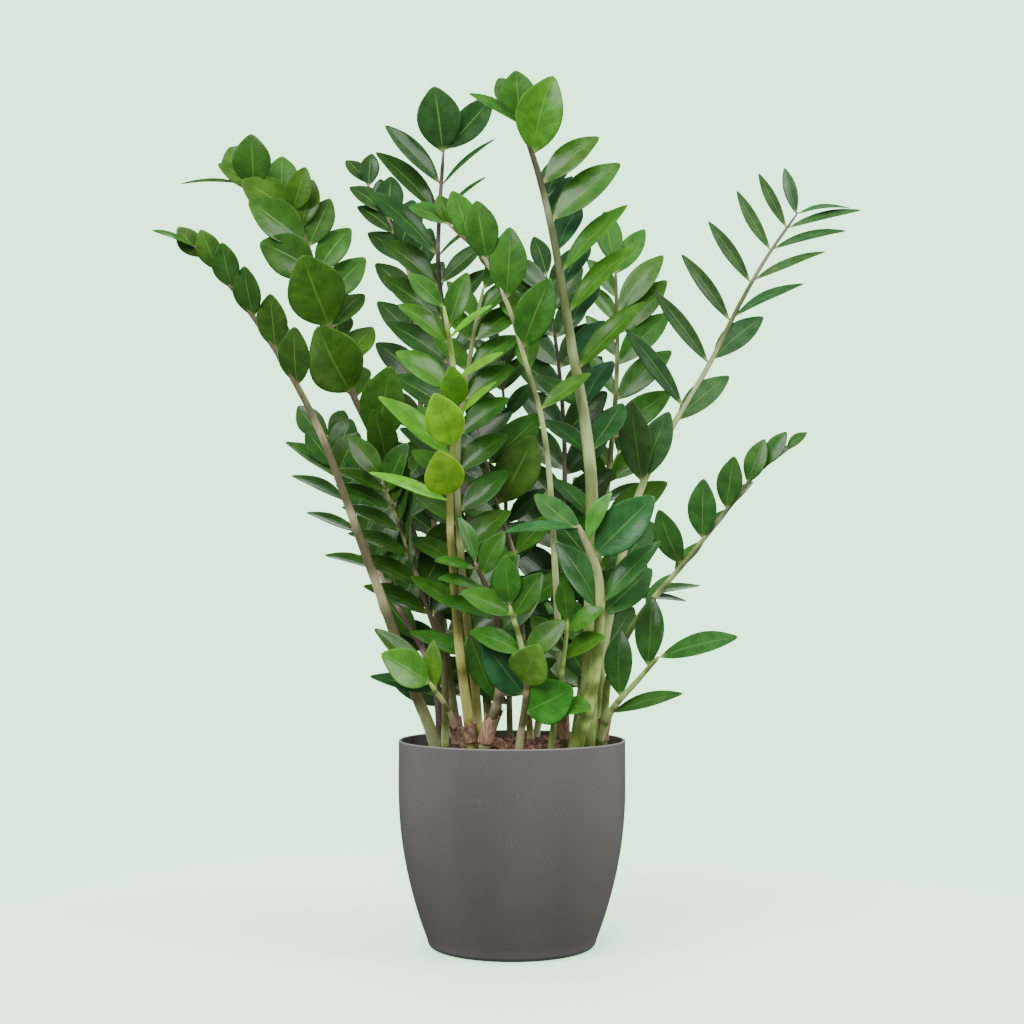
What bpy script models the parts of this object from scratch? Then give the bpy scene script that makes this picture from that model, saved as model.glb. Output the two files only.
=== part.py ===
"""A ZZ plant (Zamioculcas zamiifolia) in a plastic cover pot.

Metres, +Z up, origin at the centre of the pot's underside. The pot is turned, the soil is a
low dome in a grower pot, and each frond is one solid: a tapering stalk joined to its leaflets.
"""

import math

import bpy
import bmesh
import numpy as np
from mathutils import Matrix, Vector
from mathutils.bvhtree import BVHTree

for old in list(bpy.data.objects):
    bpy.data.objects.remove(old)

# ---------------------------------------------------------------- driving dimensions

CM = 0.01                        # the plant's own lists are in centimetres
GAP = 0.0003                     # clearance between pieces that touch
TURN_STEPS = 36                  # facets round a turned piece

POT_RADIUS = 0.105               # outside, at the rim
POT_HEIGHT = 0.189
POT_FOOT_RADIUS = 0.0755         # outside, just above the foot's rounded edge
POT_FOOT_EDGE = 0.006            # radius of that edge
POT_STRAIGHT_FROM = 0.145        # above this height the wall is upright
POT_WALL = 0.0025
POT_FLOOR = 0.003

GROWER_RADIUS = 0.093            # outside, at the rim
GROWER_FOOT_RADIUS = 0.068
GROWER_TOP = 0.1765
GROWER_WALL = 0.0012
GROWER_LIP = 0.0025              # how far the rim stands out
GROWER_HOLES = 6
GROWER_HOLE_RADIUS = 0.006

SOIL_TOP = 0.1885                # height of the dome's centre
SOIL_EDGE = 0.1735               # height where it meets the grower pot
ROOT_DEPTH = 0.1515              # height of the stalks' lower ends

LEAF_RINGS = 4                   # steps along a leaflet's solid
LEAF_TOP = 0.00045               # midrib height over the blade's upper side
LEAF_KEEL = 0.00065              # midrib depth under it
LEAF_FOLD = 0.16                 # rise of the blade's halves toward their edges
LEAF_DROOP = math.radians(12)    # bend from base to tip
LEAF_CROWDING = 1.25             # leaflets stand closer toward the frond's tip
STALK_POINTS = 12
SKIN_SLACK = 1.16                 # the test skin holds the six-sided tube however it is turned
SOCKET_SLACK = 0.12               # socket radius over the stalk's, to clear its facets

SHEATH_LIFT = 0.004               # space under a sheath
SHEATH_AIR = 0.0006               # space between a sheath and its stalk
SHEATH_WALL = 0.0006

GREEN_DARK = (0.020, 0.076, 0.012, 1)
GREEN = (0.036, 0.130, 0.012, 1)
GREEN_YOUNG = (0.100, 0.320, 0.014, 1)
POT_GREY = (0.112, 0.106, 0.108, 1)
GROWER_BLACK = (0.020, 0.020, 0.021, 1)
SOIL_BROWN = (0.165, 0.075, 0.055, 1)
RHIZOME_TAN = (0.330, 0.215, 0.115, 1)
SHEATH_BROWN = (0.235, 0.120, 0.065, 1)

# Each frond: stalk radii at base and tip, colour, the stalk's route, and rows of leaflets.
# A row: distance from the tip of its first and last leaflet, count, first and last length,
# width over length, first and last angle to the stalk in degrees, the side the row grows to,
# and the way its upper face looks.
FRONDS = {
    "frond_far_left": (0.65, 0.16, "mature", [
        (-6.6, -1.6, 16.6), (-7.2, -2, 19.2), (-8.9, -2.9, 23.4), (-11.1, -4.2, 30),
        (-13.5, -5.5, 36.8), (-15.8, -6.9, 43.4), (-17.9, -7.9, 48.6), (-20.3, -8.8, 52.9),
        (-23.1, -9.7, 57.2), (-25.5, -10.5, 60.3), (-27.8, -11, 62.8)], [
        (15.2, 2.9, 5, 5.7, 4, 0.6, 30, 26, (0.6, -0.7, 0.7), (-0.3, -1, 0.1)),
        (13.6, 3, 5, 4.8, 3.4, 0.5, 34, 30, (0.5, 0.9, 0.6), (-0.3, 0.1, 1)),
        (1.4, 1.4, 1, 3.8, 3.8, 0.6, 12, 12, (0.6, -0.7, 0.7), (-0.3, -1, 0.1)),
        (0, 0, 1, 4.4, 4.4, 0.44, 38, 38, (-0.6, -0.3, -0.6), (0, -0.9, 0.6))]),
    "frond_left_broad": (0.6, 0.17, "mature", [
        (-4.9, 1.7, 16.6), (-5.2, 1.5, 19.2), (-6.1, 1.1, 25.2), (-7.2, 0.6, 31.8), (-9.1, 0.3, 37.4),
        (-12.1, -0.3, 45.3), (-14.9, -0.7, 50.9), (-17, -1.1, 57.4), (-18.8, -1.6, 63.9),
        (-21.5, -1.9, 69.3), (-25, -2, 70.6)], [
        (14.6, 7.4, 4, 6.2, 5, 0.54, 56, 44, (0.9, 0.1, 0.4), (0.1, -1, 0.3)),
        (4.2, 4.2, 1, 5, 5, 0.66, 44, 44, (0.9, 0.2, 0.4), (0.1, -1, 0.3)),
        (5.6, 5.6, 1, 4.6, 4.6, 0.6, 60, 60, (0.9, -0.4, 0.4), (0.1, -1, 0.3)),
        (11.8, 11.8, 1, 6.4, 6.4, 0.72, 50, 50, (-0.9, -0.7, 0.1), (-0.2, -1, 0.3)),
        (9, 6.4, 2, 7, 6.4, 0.62, 30, 22, (-0.9, -0.7, 0.1), (-0.2, -1, 0.6)),
        (2.4, 2.4, 1, 5.4, 5.4, 0.46, 10, 10, (-0.9, -0.8, 0.1), (-0.1, -1, 0.6)),
        (1.3, 1.3, 1, 5.6, 5.6, 0.72, 26, 26, (0.2, 0.3, 1), (-0.1, -1, 0.2)),
        (23.4, 17, 2, 7.8, 7.8, 0.76, 32, 28, (-0.1, -1, 0.1), (0.1, -1, 0.4)),
        (28.6, 28.6, 1, 8.2, 8.2, 0.58, 44, 44, (0.8, -0.7, 0.1), (0.1, -1, 0.4)),
        (31, 31, 1, 6.4, 6.4, 0.5, 34, 34, (0.3, -1, 0.1), (0.1, -1, 0.4)),
        (24, 15, 3, 6.4, 6.2, 0.55, 50, 50, (0.2, 1, 0.1), (-0.1, -0.5, 0.9)),
        (26, 17, 3, 6.4, 6, 0.5, 56, 56, (0.8, 0.6, 0.2), (0.3, -0.3, 0.9)),
        (46, 33, 4, 6.4, 6.4, 0.5, 52, 50, (0.8, 0.5, 0.1), (0, -0.7, 0.7)),
        (1.2, 1.2, 1, 5.2, 5.2, 0.76, 54, 54, (0.5, -0.3, 1), (0, -1, 0.2)),
        (0, 0, 1, 6.2, 6.2, 0.26, 18, 18, (-0.2, -0.2, -0.8), (0, -0.4, 1))]),
    "frond_left_low": (0.5, 0.16, "dark", [
        (-6.2, 3, 16.6), (-6.8, 3, 19), (-7.1, 3.9, 23.2), (-8.3, 4.7, 26.6), (-10.3, 5.4, 29.9),
        (-14, 6.8, 36.7), (-17.1, 8.2, 43.6), (-18.2, 9.2, 47.8)], [
        (14.4, 4.4, 4, 5.6, 6.8, 0.42, 46, 32, (-1, -0.2, -0.1), (0, -0.5, 1)),
        (22.5, 22.5, 1, 6.6, 6.6, 0.42, 12, 12, (-1, -0.3, 0), (0, -1, 0.3)),
        (19, 1, 9, 6.6, 5.2, 0.58, 55, 36, (1, -0.3, 0.3), (0, -0.9, 0.5)),
        (3.2, 3.2, 1, 5, 5, 0.56, 26, 26, (-1, -0.3, 0), (0, -1, 0.2)),
        (0, 0, 1, 5, 5, 0.56, 14, 14, (-1, 0, 0.3), (0, -1, 0.2))]),
    "frond_back_left": (0.5, 0.15, "dark", [
        (-4.9, 4.6, 16.6), (-5.5, 5, 18.9), (-6.5, 6.5, 27.9), (-7.9, 8.6, 41.6), (-9.2, 10.3, 51.7),
        (-9.9, 11.9, 62.1), (-11.2, 12.5, 66.9), (-13, 13.4, 71.4), (-15, 14, 74.6)], [
        (38, 4, 9, 7.4, 4.8, 0.54, 48, 26, (-1, -0.3, -0.1), (0, -0.8, 0.6)),
        (0.6, 0.6, 1, 3.8, 3.8, 0.6, 34, 34, (1, -0.3, 0.1), (0, -0.9, 0.4)),
        (55, 42.5, 4, 6.6, 7.2, 0.5, 56, 50, (-1, -0.2, 0), (0, -0.8, 0.6)),
        (54, 41, 4, 6.6, 7.2, 0.5, 56, 50, (1, -0.2, 0), (0, -0.8, 0.6)),
        (36.5, 3, 10, 7.4, 5.2, 0.58, 50, 28, (1, -0.3, 0.1), (0, -0.9, 0.4)),
        (0, 0, 1, 3.8, 3.8, 0.5, 8, 8, (-1, 0, 0), (0, -0.8, 0.6))]),
    "frond_top_centre": (0.5, 0.17, "dark", [
        (-1.9, 2.8, 16.6), (-2.1, 3, 19), (-3.5, 2.8, 35.6), (-4.4, 2.6, 41.3), (-5.4, 2.4, 50.3),
        (-7, 1.2, 63.4), (-6.9, 0.2, 67.2), (-6.4, -1.2, 74)], [
        (10, 3.3, 3, 9.4, 7.8, 0.36, 42, 44, (-1, -0.2, 0), (0, -0.8, 0.8)),
        (10, 3.4, 3, 5, 7, 0.24, 48, 40, (1, -0.1, 0), (0, -0.5, 1)),
        (36, 13, 6, 7.6, 7.4, 0.48, 50, 46, (-1, -0.3, 0), (0, -0.8, 0.7)),
        (51, 41, 3, 6.2, 7, 0.5, 62, 52, (-1, -0.2, 0), (0, -0.8, 0.7)),
        (50, 40, 3, 6.2, 7, 0.5, 62, 52, (1, -0.2, 0), (0, -0.8, 0.7)),
        (35, 12.6, 6, 7.2, 6.2, 0.44, 52, 48, (1, -0.3, 0), (0, -0.8, 0.7)),
        (0.5, 0.5, 1, 6.6, 6.6, 0.68, 12, 12, (-1, -0.2, 0), (0, -1, 0.05)),
        (0, 0, 1, 7.2, 7.2, 0.42, 38, 38, (1, 0.1, 0.1), (0.2, -1, 0.1))]),
    "frond_centre_arching": (0.42, 0.16, "mature", [
        (5, -1.3, 16.6), (4.9, -1.5, 18.8), (4.4, -2.7, 26.3), (3.4, -5.3, 42.7), (2.6, -6.2, 48.5),
        (1, -7.1, 53.8), (-0.4, -7.8, 58.2), (-2.4, -8.5, 62.1), (-3.7, -8.8, 64.2),
        (-5.8, -9, 65.3)], [
        (13.6, 13.6, 1, 7.2, 7.2, 0.54, 40, 40, (1, -0.4, 0.3), (-0.2, -1, 0.05)),
        (9, 2.5, 3, 6.8, 4.9, 0.56, 26, 26, (1, -0.4, 0.3), (-0.2, -1, 0.05)),
        (19.2, 19.2, 1, 6, 6, 0.36, 64, 64, (1, 0.1, 0), (-0.1, -0.8, 0.7)),
        (15.6, 3.5, 4, 5.4, 4.2, 0.45, 48, 42, (0.3, 1, 0), (-0.2, -0.1, 1)),
        (0, 0, 1, 4, 4, 0.52, 18, 18, (-0.4, 0, -0.6), (0, -0.9, 0.5)),
        (0.5, 0.5, 1, 3.4, 3.4, 0.6, 30, 30, (0.3, 0.2, 1), (0, -1, 0.4))]),
    "frond_young_bright": (0.55, 0.2, "young", [
        (-3.7, -4.3, 16.8), (-3.8, -4.5, 19.7), (-4.7, -6.1, 27.3), (-5.1, -7.3, 32.7),
        (-5.5, -9, 40.6), (-4.9, -10.8, 49.3), (-5.6, -12.3, 55.6), (-5.9, -12.8, 57.2)], [
        (17.2, 17.2, 1, 8, 8, 0.32, 66, 66, (-1, -0.3, 0.1), (0, -0.7, 1)),
        (16.8, 16.8, 1, 5.2, 5.2, 0.74, 34, 34, (-0.3, -1, 0.2), (0, -1, 0.2)),
        (12.4, 12.4, 1, 5.8, 5.8, 0.64, 34, 34, (-0.6, -1, 0.2), (0, -1, 0.1)),
        (13.4, 13.4, 1, 8.8, 8.8, 0.38, 48, 48, (-1, 0, 0), (0.2, -0.7, 0.8)),
        (9, 9, 1, 4.4, 4.4, 0.6, 30, 30, (-0.1, -1, 0), (0.1, -1, 0.2)),
        (9.8, 9.8, 1, 5.2, 5.2, 0.26, 45, 45, (1, -0.4, 0), (0, -0.7, 0.8)),
        (6.6, 2.8, 2, 5.4, 5.2, 0.28, 57, 58, (1, -0.4, 0), (0, -0.7, 0.8)),
        (7.4, 3.4, 2, 6.6, 6, 0.5, 52, 40, (-1, -0.4, 0), (0.2, -0.8, 0.6)),
        (2, 2, 1, 5.4, 5.4, 0.44, 28, 28, (1, 0.3, 0), (0, -1, 0.3)),
        (0, 0, 1, 4.4, 4.4, 0.46, 34, 34, (-1, -0.3, 0.5), (0.1, -1, 0.2))]),
    "frond_young_second": (0.5, 0.18, "mature", [
        (-2.6, -2.8, 16.8), (-3, -3, 19.4), (-3.3, -3.4, 23.4), (-4.3, -4.2, 31.8), (-4.9, -4.6, 40.7),
        (-4.8, -5, 47), (-3.6, -5.4, 55), (-2.6, -5.8, 60)], [
        (36, 3, 11, 6.4, 5.6, 0.5, 56, 40, (1, -0.1, 0.2), (0, -0.8, 0.6)),
        (31, 31, 1, 7.2, 7.2, 0.36, 158, 158, (1, -0.8, 0), (0, -1, 0.1)),
        (34, 3, 10, 6.6, 5.4, 0.5, 55, 45, (-1, 0.5, 0), (0, -0.5, 1)),
        (0, 0, 1, 5.4, 5.4, 0.4, 8, 8, (1, 0, 0), (0, -1, 0.2))]),
    "frond_tallest": (0.95, 0.22, "mature", [
        (6.5, -3.4, 16.6), (6.8, -3.6, 18.9), (7.1, -3.7, 27.3), (7.3, -4, 37.3), (7, -4.2, 45.5),
        (5.5, -4.5, 54.6), (4, -5, 63.8), (2.6, -5.5, 69.7), (1.5, -6, 73.7), (0.4, -6.4, 76.3)], [
        (24.4, 15.4, 3, 9.2, 9, 0.34, 50, 52, (1, -0.2, 0.1), (-0.3, -0.7, 0.7)),
        (10.6, 7.2, 2, 8.5, 7, 0.46, 62, 64, (1, -0.3, 0.1), (-0.3, -0.9, 0.4)),
        (4.5, 4.5, 1, 7.6, 7.6, 0.64, 34, 34, (1, -0.6, 0.3), (-0.2, -1, 0.05)),
        (32, 8.6, 8, 7.4, 6.2, 0.46, 46, 44, (0.9, 0.9, 0.1), (-0.2, -0.6, 0.7)),
        (38, 28, 3, 7, 7, 0.4, 48, 48, (-0.8, 0.8, 0.1), (0.2, -0.6, 0.7)),
        (53, 42, 4, 6.6, 7, 0.46, 52, 48, (-0.7, 0.8, 0.1), (0.2, -0.7, 0.7)),
        (1, 1, 1, 4.6, 4.6, 0.74, 14, 14, (1, -0.5, 0.2), (-0.1, -1, 0.2)),
        (1.6, 1.6, 1, 6, 6, 0.34, 34, 34, (-1, 0.1, 0), (0, -0.7, 1)),
        (0, 0, 1, 4.1, 4.1, 0.6, 20, 20, (-0.5, 0.8, 0.3), (-0.2, -1, 0.3))]),
    "frond_front_hooked": (0.85, 0.28, "mature", [
        (5.5, -5.5, 16.8), (5.8, -5.7, 19.1), (6.9, -6.8, 22.9), (7.5, -8.3, 27.4), (7.7, -9.8, 31.8),
        (7.4, -10.7, 34.5), (5.7, -12, 38.3)], [
        (3.2, 3.2, 1, 8, 8, 0.52, 58, 58, (1, -0.3, 0.2), (-0.3, -1, 0.2)),
        (7.6, 7.6, 1, 8, 8, 0.34, 38, 38, (1, -0.1, 0.2), (-0.2, -0.8, 0.6)),
        (8.8, 8.8, 1, 6.8, 6.8, 0.5, 50, 50, (1, 0.5, 0.1), (-0.2, -0.9, 0.4)),
        (1.7, 1.7, 1, 5.2, 5.2, 0.34, 46, 46, (1, -0.3, 0.4), (-0.2, -0.9, 0.5)),
        (8.2, 8.2, 1, 7.4, 7.4, 0.46, 30, 30, (-1, 0.2, 0), (-0.2, -0.6, 0.8)),
        (0.2, 0.2, 1, 7.2, 7.2, 0.3, 60, 60, (-1, -0.4, -0.3), (0, -0.6, 1)),
        (0.8, 0.8, 1, 5.6, 5.6, 0.46, 30, 30, (-1, 0.2, 0.5), (0, -0.9, 0.7))]),
    "frond_back_centre": (0.45, 0.15, "dark", [
        (4.2, 4.4, 16.6), (4.5, 4.4, 18.9), (5.2, 8.4, 43.5), (4.8, 10.1, 53.7), (3.5, 12, 64.6)], [
        (38, 2, 11, 7.4, 5.6, 0.55, 50, 40, (1, -0.3, 0.1), (-0.1, -0.9, 0.5)),
        (37, 2, 11, 7.4, 5.6, 0.55, 52, 40, (-1, -0.3, 0), (0.1, -0.9, 0.5)),
        (42, 42, 1, 6.4, 6.4, 0.5, 54, 54, (1, -0.3, 0.1), (-0.1, -0.9, 0.5)),
        (41, 41, 1, 6.4, 6.4, 0.5, 54, 54, (-1, -0.3, 0), (0.1, -0.9, 0.5)),
        (0, 0, 1, 5, 5, 0.45, 8, 8, (-1, 0, 0), (0, -0.9, 0.5))]),
    "frond_inner_thin": (0.35, 0.12, "dark", [
        (-0.2, 2.1, 16.6), (-0.2, 2, 19.1), (-0.6, 3.2, 41.3), (-0.7, 3.7, 49.8), (-1.3, 4, 55.8)], [
        (34, 2, 10, 6, 4.4, 0.48, 54, 38, (-1, -0.3, 0), (0, -0.7, 0.8)),
        (33, 2, 10, 6, 4.4, 0.48, 54, 38, (1, -0.4, 0), (0, -0.7, 0.8)),
        (0, 0, 1, 3.6, 3.6, 0.34, 10, 10, (-1, 0, 0), (0, -0.8, 0.6))]),
    "frond_inner_tan": (0.4, 0.13, "mature", [
        (2, -0.1, 16.6), (1.7, 0, 19.3), (0.7, -1.3, 31.8), (0.1, -1.8, 36.4), (-1.4, -2.3, 40.6),
        (-2.3, -2.7, 44.2), (-3.1, -3, 47.4)], [
        (7.2, 7.2, 1, 7.6, 7.6, 0.58, 44, 44, (1, -0.2, 0.2), (0, -1, 0.1)),
        (3.3, 3.3, 1, 7.2, 7.2, 0.46, 60, 60, (1, -0.2, 0.1), (0, -1, 0.2)),
        (25, 3, 7, 6.2, 5.4, 0.5, 54, 45, (-1, -0.4, 0), (0, -0.8, 0.6)),
        (17, 12, 2, 6, 5.5, 0.46, 55, 55, (1, 0.2, 0), (0, -0.7, 0.7)),
        (0, 0, 1, 5.6, 5.6, 0.5, 12, 12, (1, 0.2, 0), (0, -0.9, 0.5))]),
    "frond_back_right": (0.5, 0.17, "mature", [
        (5.6, 3.2, 16.6), (6, 3, 19), (8.5, 6.2, 36.7), (10, 8.4, 49), (10.5, 9.7, 56.7),
        (10.4, 11, 65.4)], [
        (31.5, 5, 8, 8, 7.7, 0.42, 50, 40, (1, -0.3, 0.1), (-0.1, -0.9, 0.4)),
        (33, 3.5, 8, 6.2, 5.2, 0.42, 46, 34, (-1, -0.2, 0.1), (0.1, -0.8, 0.6)),
        (43, 39, 2, 6.2, 6.2, 0.44, 52, 50, (-1, -0.2, 0.1), (0.1, -0.8, 0.6)),
        (1, 1, 1, 6, 6, 0.42, 32, 32, (1, -0.2, 0.1), (-0.1, -1, 0.3)),
        (0, 0, 1, 6.4, 6.4, 0.46, 8, 8, (-1, 0, 0), (0, -1, 0.3))]),
    "frond_far_right": (0.62, 0.13, "dark", [
        (7.4, 1.1, 16.6), (7.8, 1, 18.7), (8.7, 1.5, 28), (12.2, 3, 42.3), (15.4, 4.2, 48.3),
        (19, 5.2, 54.3), (22.1, 5.8, 60.4), (25.2, 6.2, 65.7), (28.1, 6.6, 69.8)], [
        (12.5, 2, 4, 8.2, 7.8, 0.22, 30, 40, (1, -0.2, -0.4), (-0.3, -0.7, 0.8)),
        (24.4, 17.3, 2, 7.2, 7, 0.42, 20, 20, (1, -0.5, -0.4), (-0.3, -1, 0.4)),
        (22.8, 2, 6, 10, 6.4, 0.2, 66, 60, (-1, -0.1, 0.5), (-0.2, -0.9, 0.5)),
        (31, 31, 1, 7.2, 7.2, 0.46, 18, 18, (-0.2, -0.8, 0), (-0.2, -1, 0.2)),
        (31.5, 31.5, 1, 8.4, 8.4, 0.4, 38, 38, (-0.8, -0.6, 0.3), (-0.2, -1, 0.4)),
        (48, 40, 3, 6.6, 7, 0.42, 34, 28, (0.5, 0.6, -0.2), (-0.3, -0.9, 0.4)),
        (0, 0, 1, 5.6, 5.6, 0.28, 42, 42, (1, -0.1, -0.4), (0, -0.6, 1)),
        (0.3, 0.3, 1, 5.2, 5.2, 0.3, 46, 46, (-1, 0, 0.5), (0, -0.9, 0.4))]),
    "frond_right_low": (0.45, 0.14, "mature", [
        (7.8, -0.8, 16.6), (8.4, -1, 18.7), (8.9, -2.6, 24.9), (11.6, -4, 30.4), (15.1, -5.1, 34.6),
        (19.5, -6.6, 40.2), (22.6, -7.6, 44), (24.5, -8, 45.2)], [
        (14.2, 14.2, 1, 5.8, 5.8, 0.46, 62, 62, (-0.6, -0.3, 1), (-0.4, -1, 0.1)),
        (11.2, 2.6, 4, 5.8, 3.8, 0.5, 40, 16, (-0.6, -0.3, 1), (-0.4, -1, 0.1)),
        (19.4, 2.2, 6, 5.2, 3.4, 0.4, 34, 26, (0.2, 0.9, 0.3), (-0.1, -0.3, 1)),
        (0, 0, 1, 2.6, 2.6, 0.42, 10, 10, (0.5, 0, 0.5), (0, -0.9, 0.5))]),
    "frond_right_thin": (0.35, 0.12, "dark", [
        (7, 3, 16.6), (7.2, 3.2, 19), (8.2, 4, 26), (9, 4.5, 29.9), (10.4, 4.8, 31.3),
        (11.6, 5, 32.2)], [
        (4.6, 0.8, 3, 6, 5.6, 0.28, 50, 42, (-0.3, 0, 1), (-0.5, -1, 0)),
        (4.4, 1, 3, 5, 4.8, 0.3, 44, 44, (0.1, 1, 0.1), (0, -0.2, 1)),
        (0.4, 0.4, 1, 6.2, 6.2, 0.24, 34, 34, (1, 0.3, -0.8), (0, -0.6, 1)),
        (0, 0, 1, 7.2, 7.2, 0.26, 24, 24, (1, 0, -0.6), (0, -0.6, 1))]),
    "frond_right_bottom": (0.5, 0.2, "mature", [
        (7.6, -2.4, 16.6), (8, -2.7, 18.9), (9, -4.6, 21.9), (11.2, -6, 24.6), (13, -7.2, 26.8)], [
        (0, 0, 1, 7.8, 7.8, 0.38, 26, 26, (1, -0.2, -0.6), (0, -0.8, 0.9)),
        (5.4, 1.5, 2, 6.6, 6.8, 0.44, 48, 46, (-0.2, 0.2, 1), (-0.5, -1, 0.1)),
        (7.2, 7.2, 1, 7.2, 7.2, 0.34, 40, 40, (1, 0.2, -0.6), (0, -0.7, 1))]),
    "frond_left_bottom": (0.4, 0.2, "young", [
        (-4.9, -4.9, 16.8), (-5, -5.2, 19.2), (-5.5, -7, 21.8), (-7.2, -9.2, 24.6)], [
        (0, 0, 1, 5.6, 5.6, 0.66, 18, 18, (-1, -0.4, 0.3), (0.1, -1, 0.4)),
        (0.8, 0.8, 1, 7.8, 7.8, 0.34, 24, 24, (-1, 0.7, 0.5), (0, -0.6, 0.9)),
        (1.4, 1.4, 1, 6.4, 6.4, 0.36, 46, 46, (-1, 0.5, -0.2), (0, -0.6, 0.8)),
        (1, 1, 1, 4.6, 4.6, 0.4, 40, 40, (0.4, 0.5, 1), (-0.4, -1, 0.2))]),
    "frond_front_short": (0.45, 0.2, "mature", [
        (0.6, -5.8, 16.8), (0.7, -6, 19.2), (1.2, -7.4, 23), (1.1, -8.8, 26.6), (-0.2, -10.4, 31.4)], [
        (8.8, 8.8, 1, 7.2, 7.2, 0.52, 36, 36, (-1, -0.2, 0.1), (0, -1, 0.3)),
        (10.4, 10.4, 1, 5.6, 5.6, 0.8, 48, 48, (1, -0.6, 0.2), (0, -1, 0.2)),
        (7.8, 7.8, 1, 5.2, 5.2, 0.78, 24, 24, (0.4, -1, 0.2), (0, -1, 0.5)),
        (5, 1.2, 2, 5.4, 5.2, 0.54, 52, 45, (1, -0.3, 0.1), (0, -0.9, 0.5)),
        (4.6, 1, 2, 5.4, 5.2, 0.52, 52, 45, (-1, -0.1, 0.1), (0, -0.8, 0.6)),
        (0, 0, 1, 4.8, 4.8, 0.56, 10, 10, (1, 0, 0.3), (0, -1, 0.3))]),
    "frond_front_small": (0.38, 0.16, "mature", [
        (3.4, -6.2, 16.8), (3.5, -6.4, 19), (4, -7.4, 23), (4.6, -8.6, 27), (4.9, -9.4, 30)], [
        (7.4, 7.4, 1, 5, 5, 0.64, 56, 56, (-0.6, -1, 0), (0, -1, 0.4)),
        (8, 8, 1, 3.8, 3.8, 0.6, 70, 70, (0.9, -0.7, 0), (0, -0.8, 0.6)),
        (3.4, 1, 2, 4.6, 4.2, 0.54, 48, 44, (1, -0.2, 0.2), (0, -0.8, 0.6)),
        (3, 3, 1, 4.6, 4.6, 0.54, 48, 48, (-1, 0.3, 0), (0, -0.8, 0.6)),
        (0, 0, 1, 4.2, 4.2, 0.46, 12, 12, (-0.4, 0, 1), (0, -1, 0.2))]),
    "frond_front_stub": (0.7, 0.18, "mature", [
        (-2.5, -5.2, 16.8), (-2.4, -5.4, 19.2), (-1.1, -6.3, 23.6), (-1.1, -6.9, 28.5),
        (-1.9, -7.3, 32), (-3.3, -8, 35.2)], [
        (5.6, 0.8, 3, 6.2, 4.8, 0.46, 54, 50, (-1, -0.3, 0), (0, -0.7, 0.8)),
        (6.8, 1.4, 3, 5.4, 4.8, 0.5, 50, 48, (1, -0.3, 0.1), (0, -0.8, 0.6)),
        (0, 0, 1, 4.6, 4.6, 0.44, 10, 10, (-1, 0, 0), (0, -0.7, 0.8))]),
    "frond_left_inner": (0.45, 0.14, "dark", [
        (-6.4, 0.2, 16.6), (-6.2, 0, 19.3), (-6.4, -1, 26.2), (-8, -2.1, 31.8), (-9.8, -3.4, 37.3),
        (-11.8, -5, 42.8)], [
        (13.5, 1.4, 6, 7, 5.6, 0.46, 44, 42, (-1, -0.1, -0.1), (0, -0.7, 1)),
        (15.6, 15.6, 1, 5.2, 5.2, 0.56, 116, 116, (1, -0.4, 0.1), (0.1, -1, 0.2)),
        (13.6, 1.4, 7, 6.8, 5.6, 0.56, 50, 40, (1, -0.3, 0.3), (0, -0.8, 0.7)),
        (0, 0, 1, 5.4, 5.4, 0.5, 14, 14, (-1, 0, 0.2), (0, -0.8, 0.7))]),
    "frond_back_low_left": (0.42, 0.14, "dark", [
        (-3.2, 6.4, 16.6), (-3.4, 6.7, 18.8), (-4.4, 9, 27), (-5.4, 12, 36), (-6, 14.5, 44),
        (-6.6, 16.6, 50)], [
        (29.5, 2, 9, 6.4, 5, 0.5, 55, 45, (-1, 0.1, 0), (0, -0.5, 1)),
        (28.5, 2, 9, 6.4, 5, 0.5, 55, 45, (1, 0.1, 0), (0, -0.5, 1)),
        (0, 0, 1, 4.8, 4.8, 0.42, 10, 10, (0, 0.2, 1), (0, -0.6, 0.8))]),
    "frond_back_low_right": (0.42, 0.14, "dark", [
        (2.2, 6.8, 16.6), (2.4, 7.1, 18.8), (4, 9.6, 27), (6.6, 12.6, 35), (9, 15, 42),
        (11, 16.8, 47)], [
        (28, 2, 9, 6.4, 5, 0.5, 55, 45, (-1, 0.5, 0), (0, -0.5, 1)),
        (27, 2, 9, 6.4, 5, 0.5, 55, 45, (1, -0.5, 0), (0, -0.5, 1)),
        (0, 0, 1, 4.8, 4.8, 0.42, 10, 10, (0.3, 0.2, 1), (0, -0.6, 0.8))]),
}

# Rhizomes: centre and half sizes, then the turn about the upright axis in degrees.
RHIZOMES = {
    "rhizome_left": ((-5.5, 1.1, 14.1), (1.8, 2.9, 1.9), 6),
    "rhizome_left_front": ((-3.6, -4.3, 14.2), (2.6, 1.75, 1.8), -12),
    "rhizome_back": ((-3.0, 5.9, 14.1), (2.5, 1.5, 1.8), 15),
    "rhizome_centre": ((0.1, 1.3, 14.3), (3.0, 1.5, 1.7), -38),
    "rhizome_front": ((2.0, -6.1, 14.2), (2.3, 1.3, 1.7), -10),
    "rhizome_right_front": ((5.8, -2.9, 14.1), (1.7, 2.5, 1.9), 8),
    "rhizome_right_back": ((5.5, 3.3, 14.1), (2.6, 1.6, 1.8), -32),
}

# Dry sheaths that stay round the foot of some stalks: frond and length.
SHEATHS = {
    "sheath_left": ("frond_left_broad", 3.2),
    "sheath_front_left": ("frond_young_bright", 2.4),
    "sheath_front": ("frond_front_stub", 4.6),
    "sheath_centre": ("frond_centre_arching", 5.0),
    "sheath_right": ("frond_right_low", 3.4),
    "sheath_left_front": ("frond_left_bottom", 2.4),
}

# ---------------------------------------------------------------- shared building steps

plant = bpy.data.collections.new("potted_zz_plant")
bpy.context.scene.collection.children.link(plant)
cutters = bpy.data.collections.new("cutters")
bpy.context.scene.collection.children.link(cutters)


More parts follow.
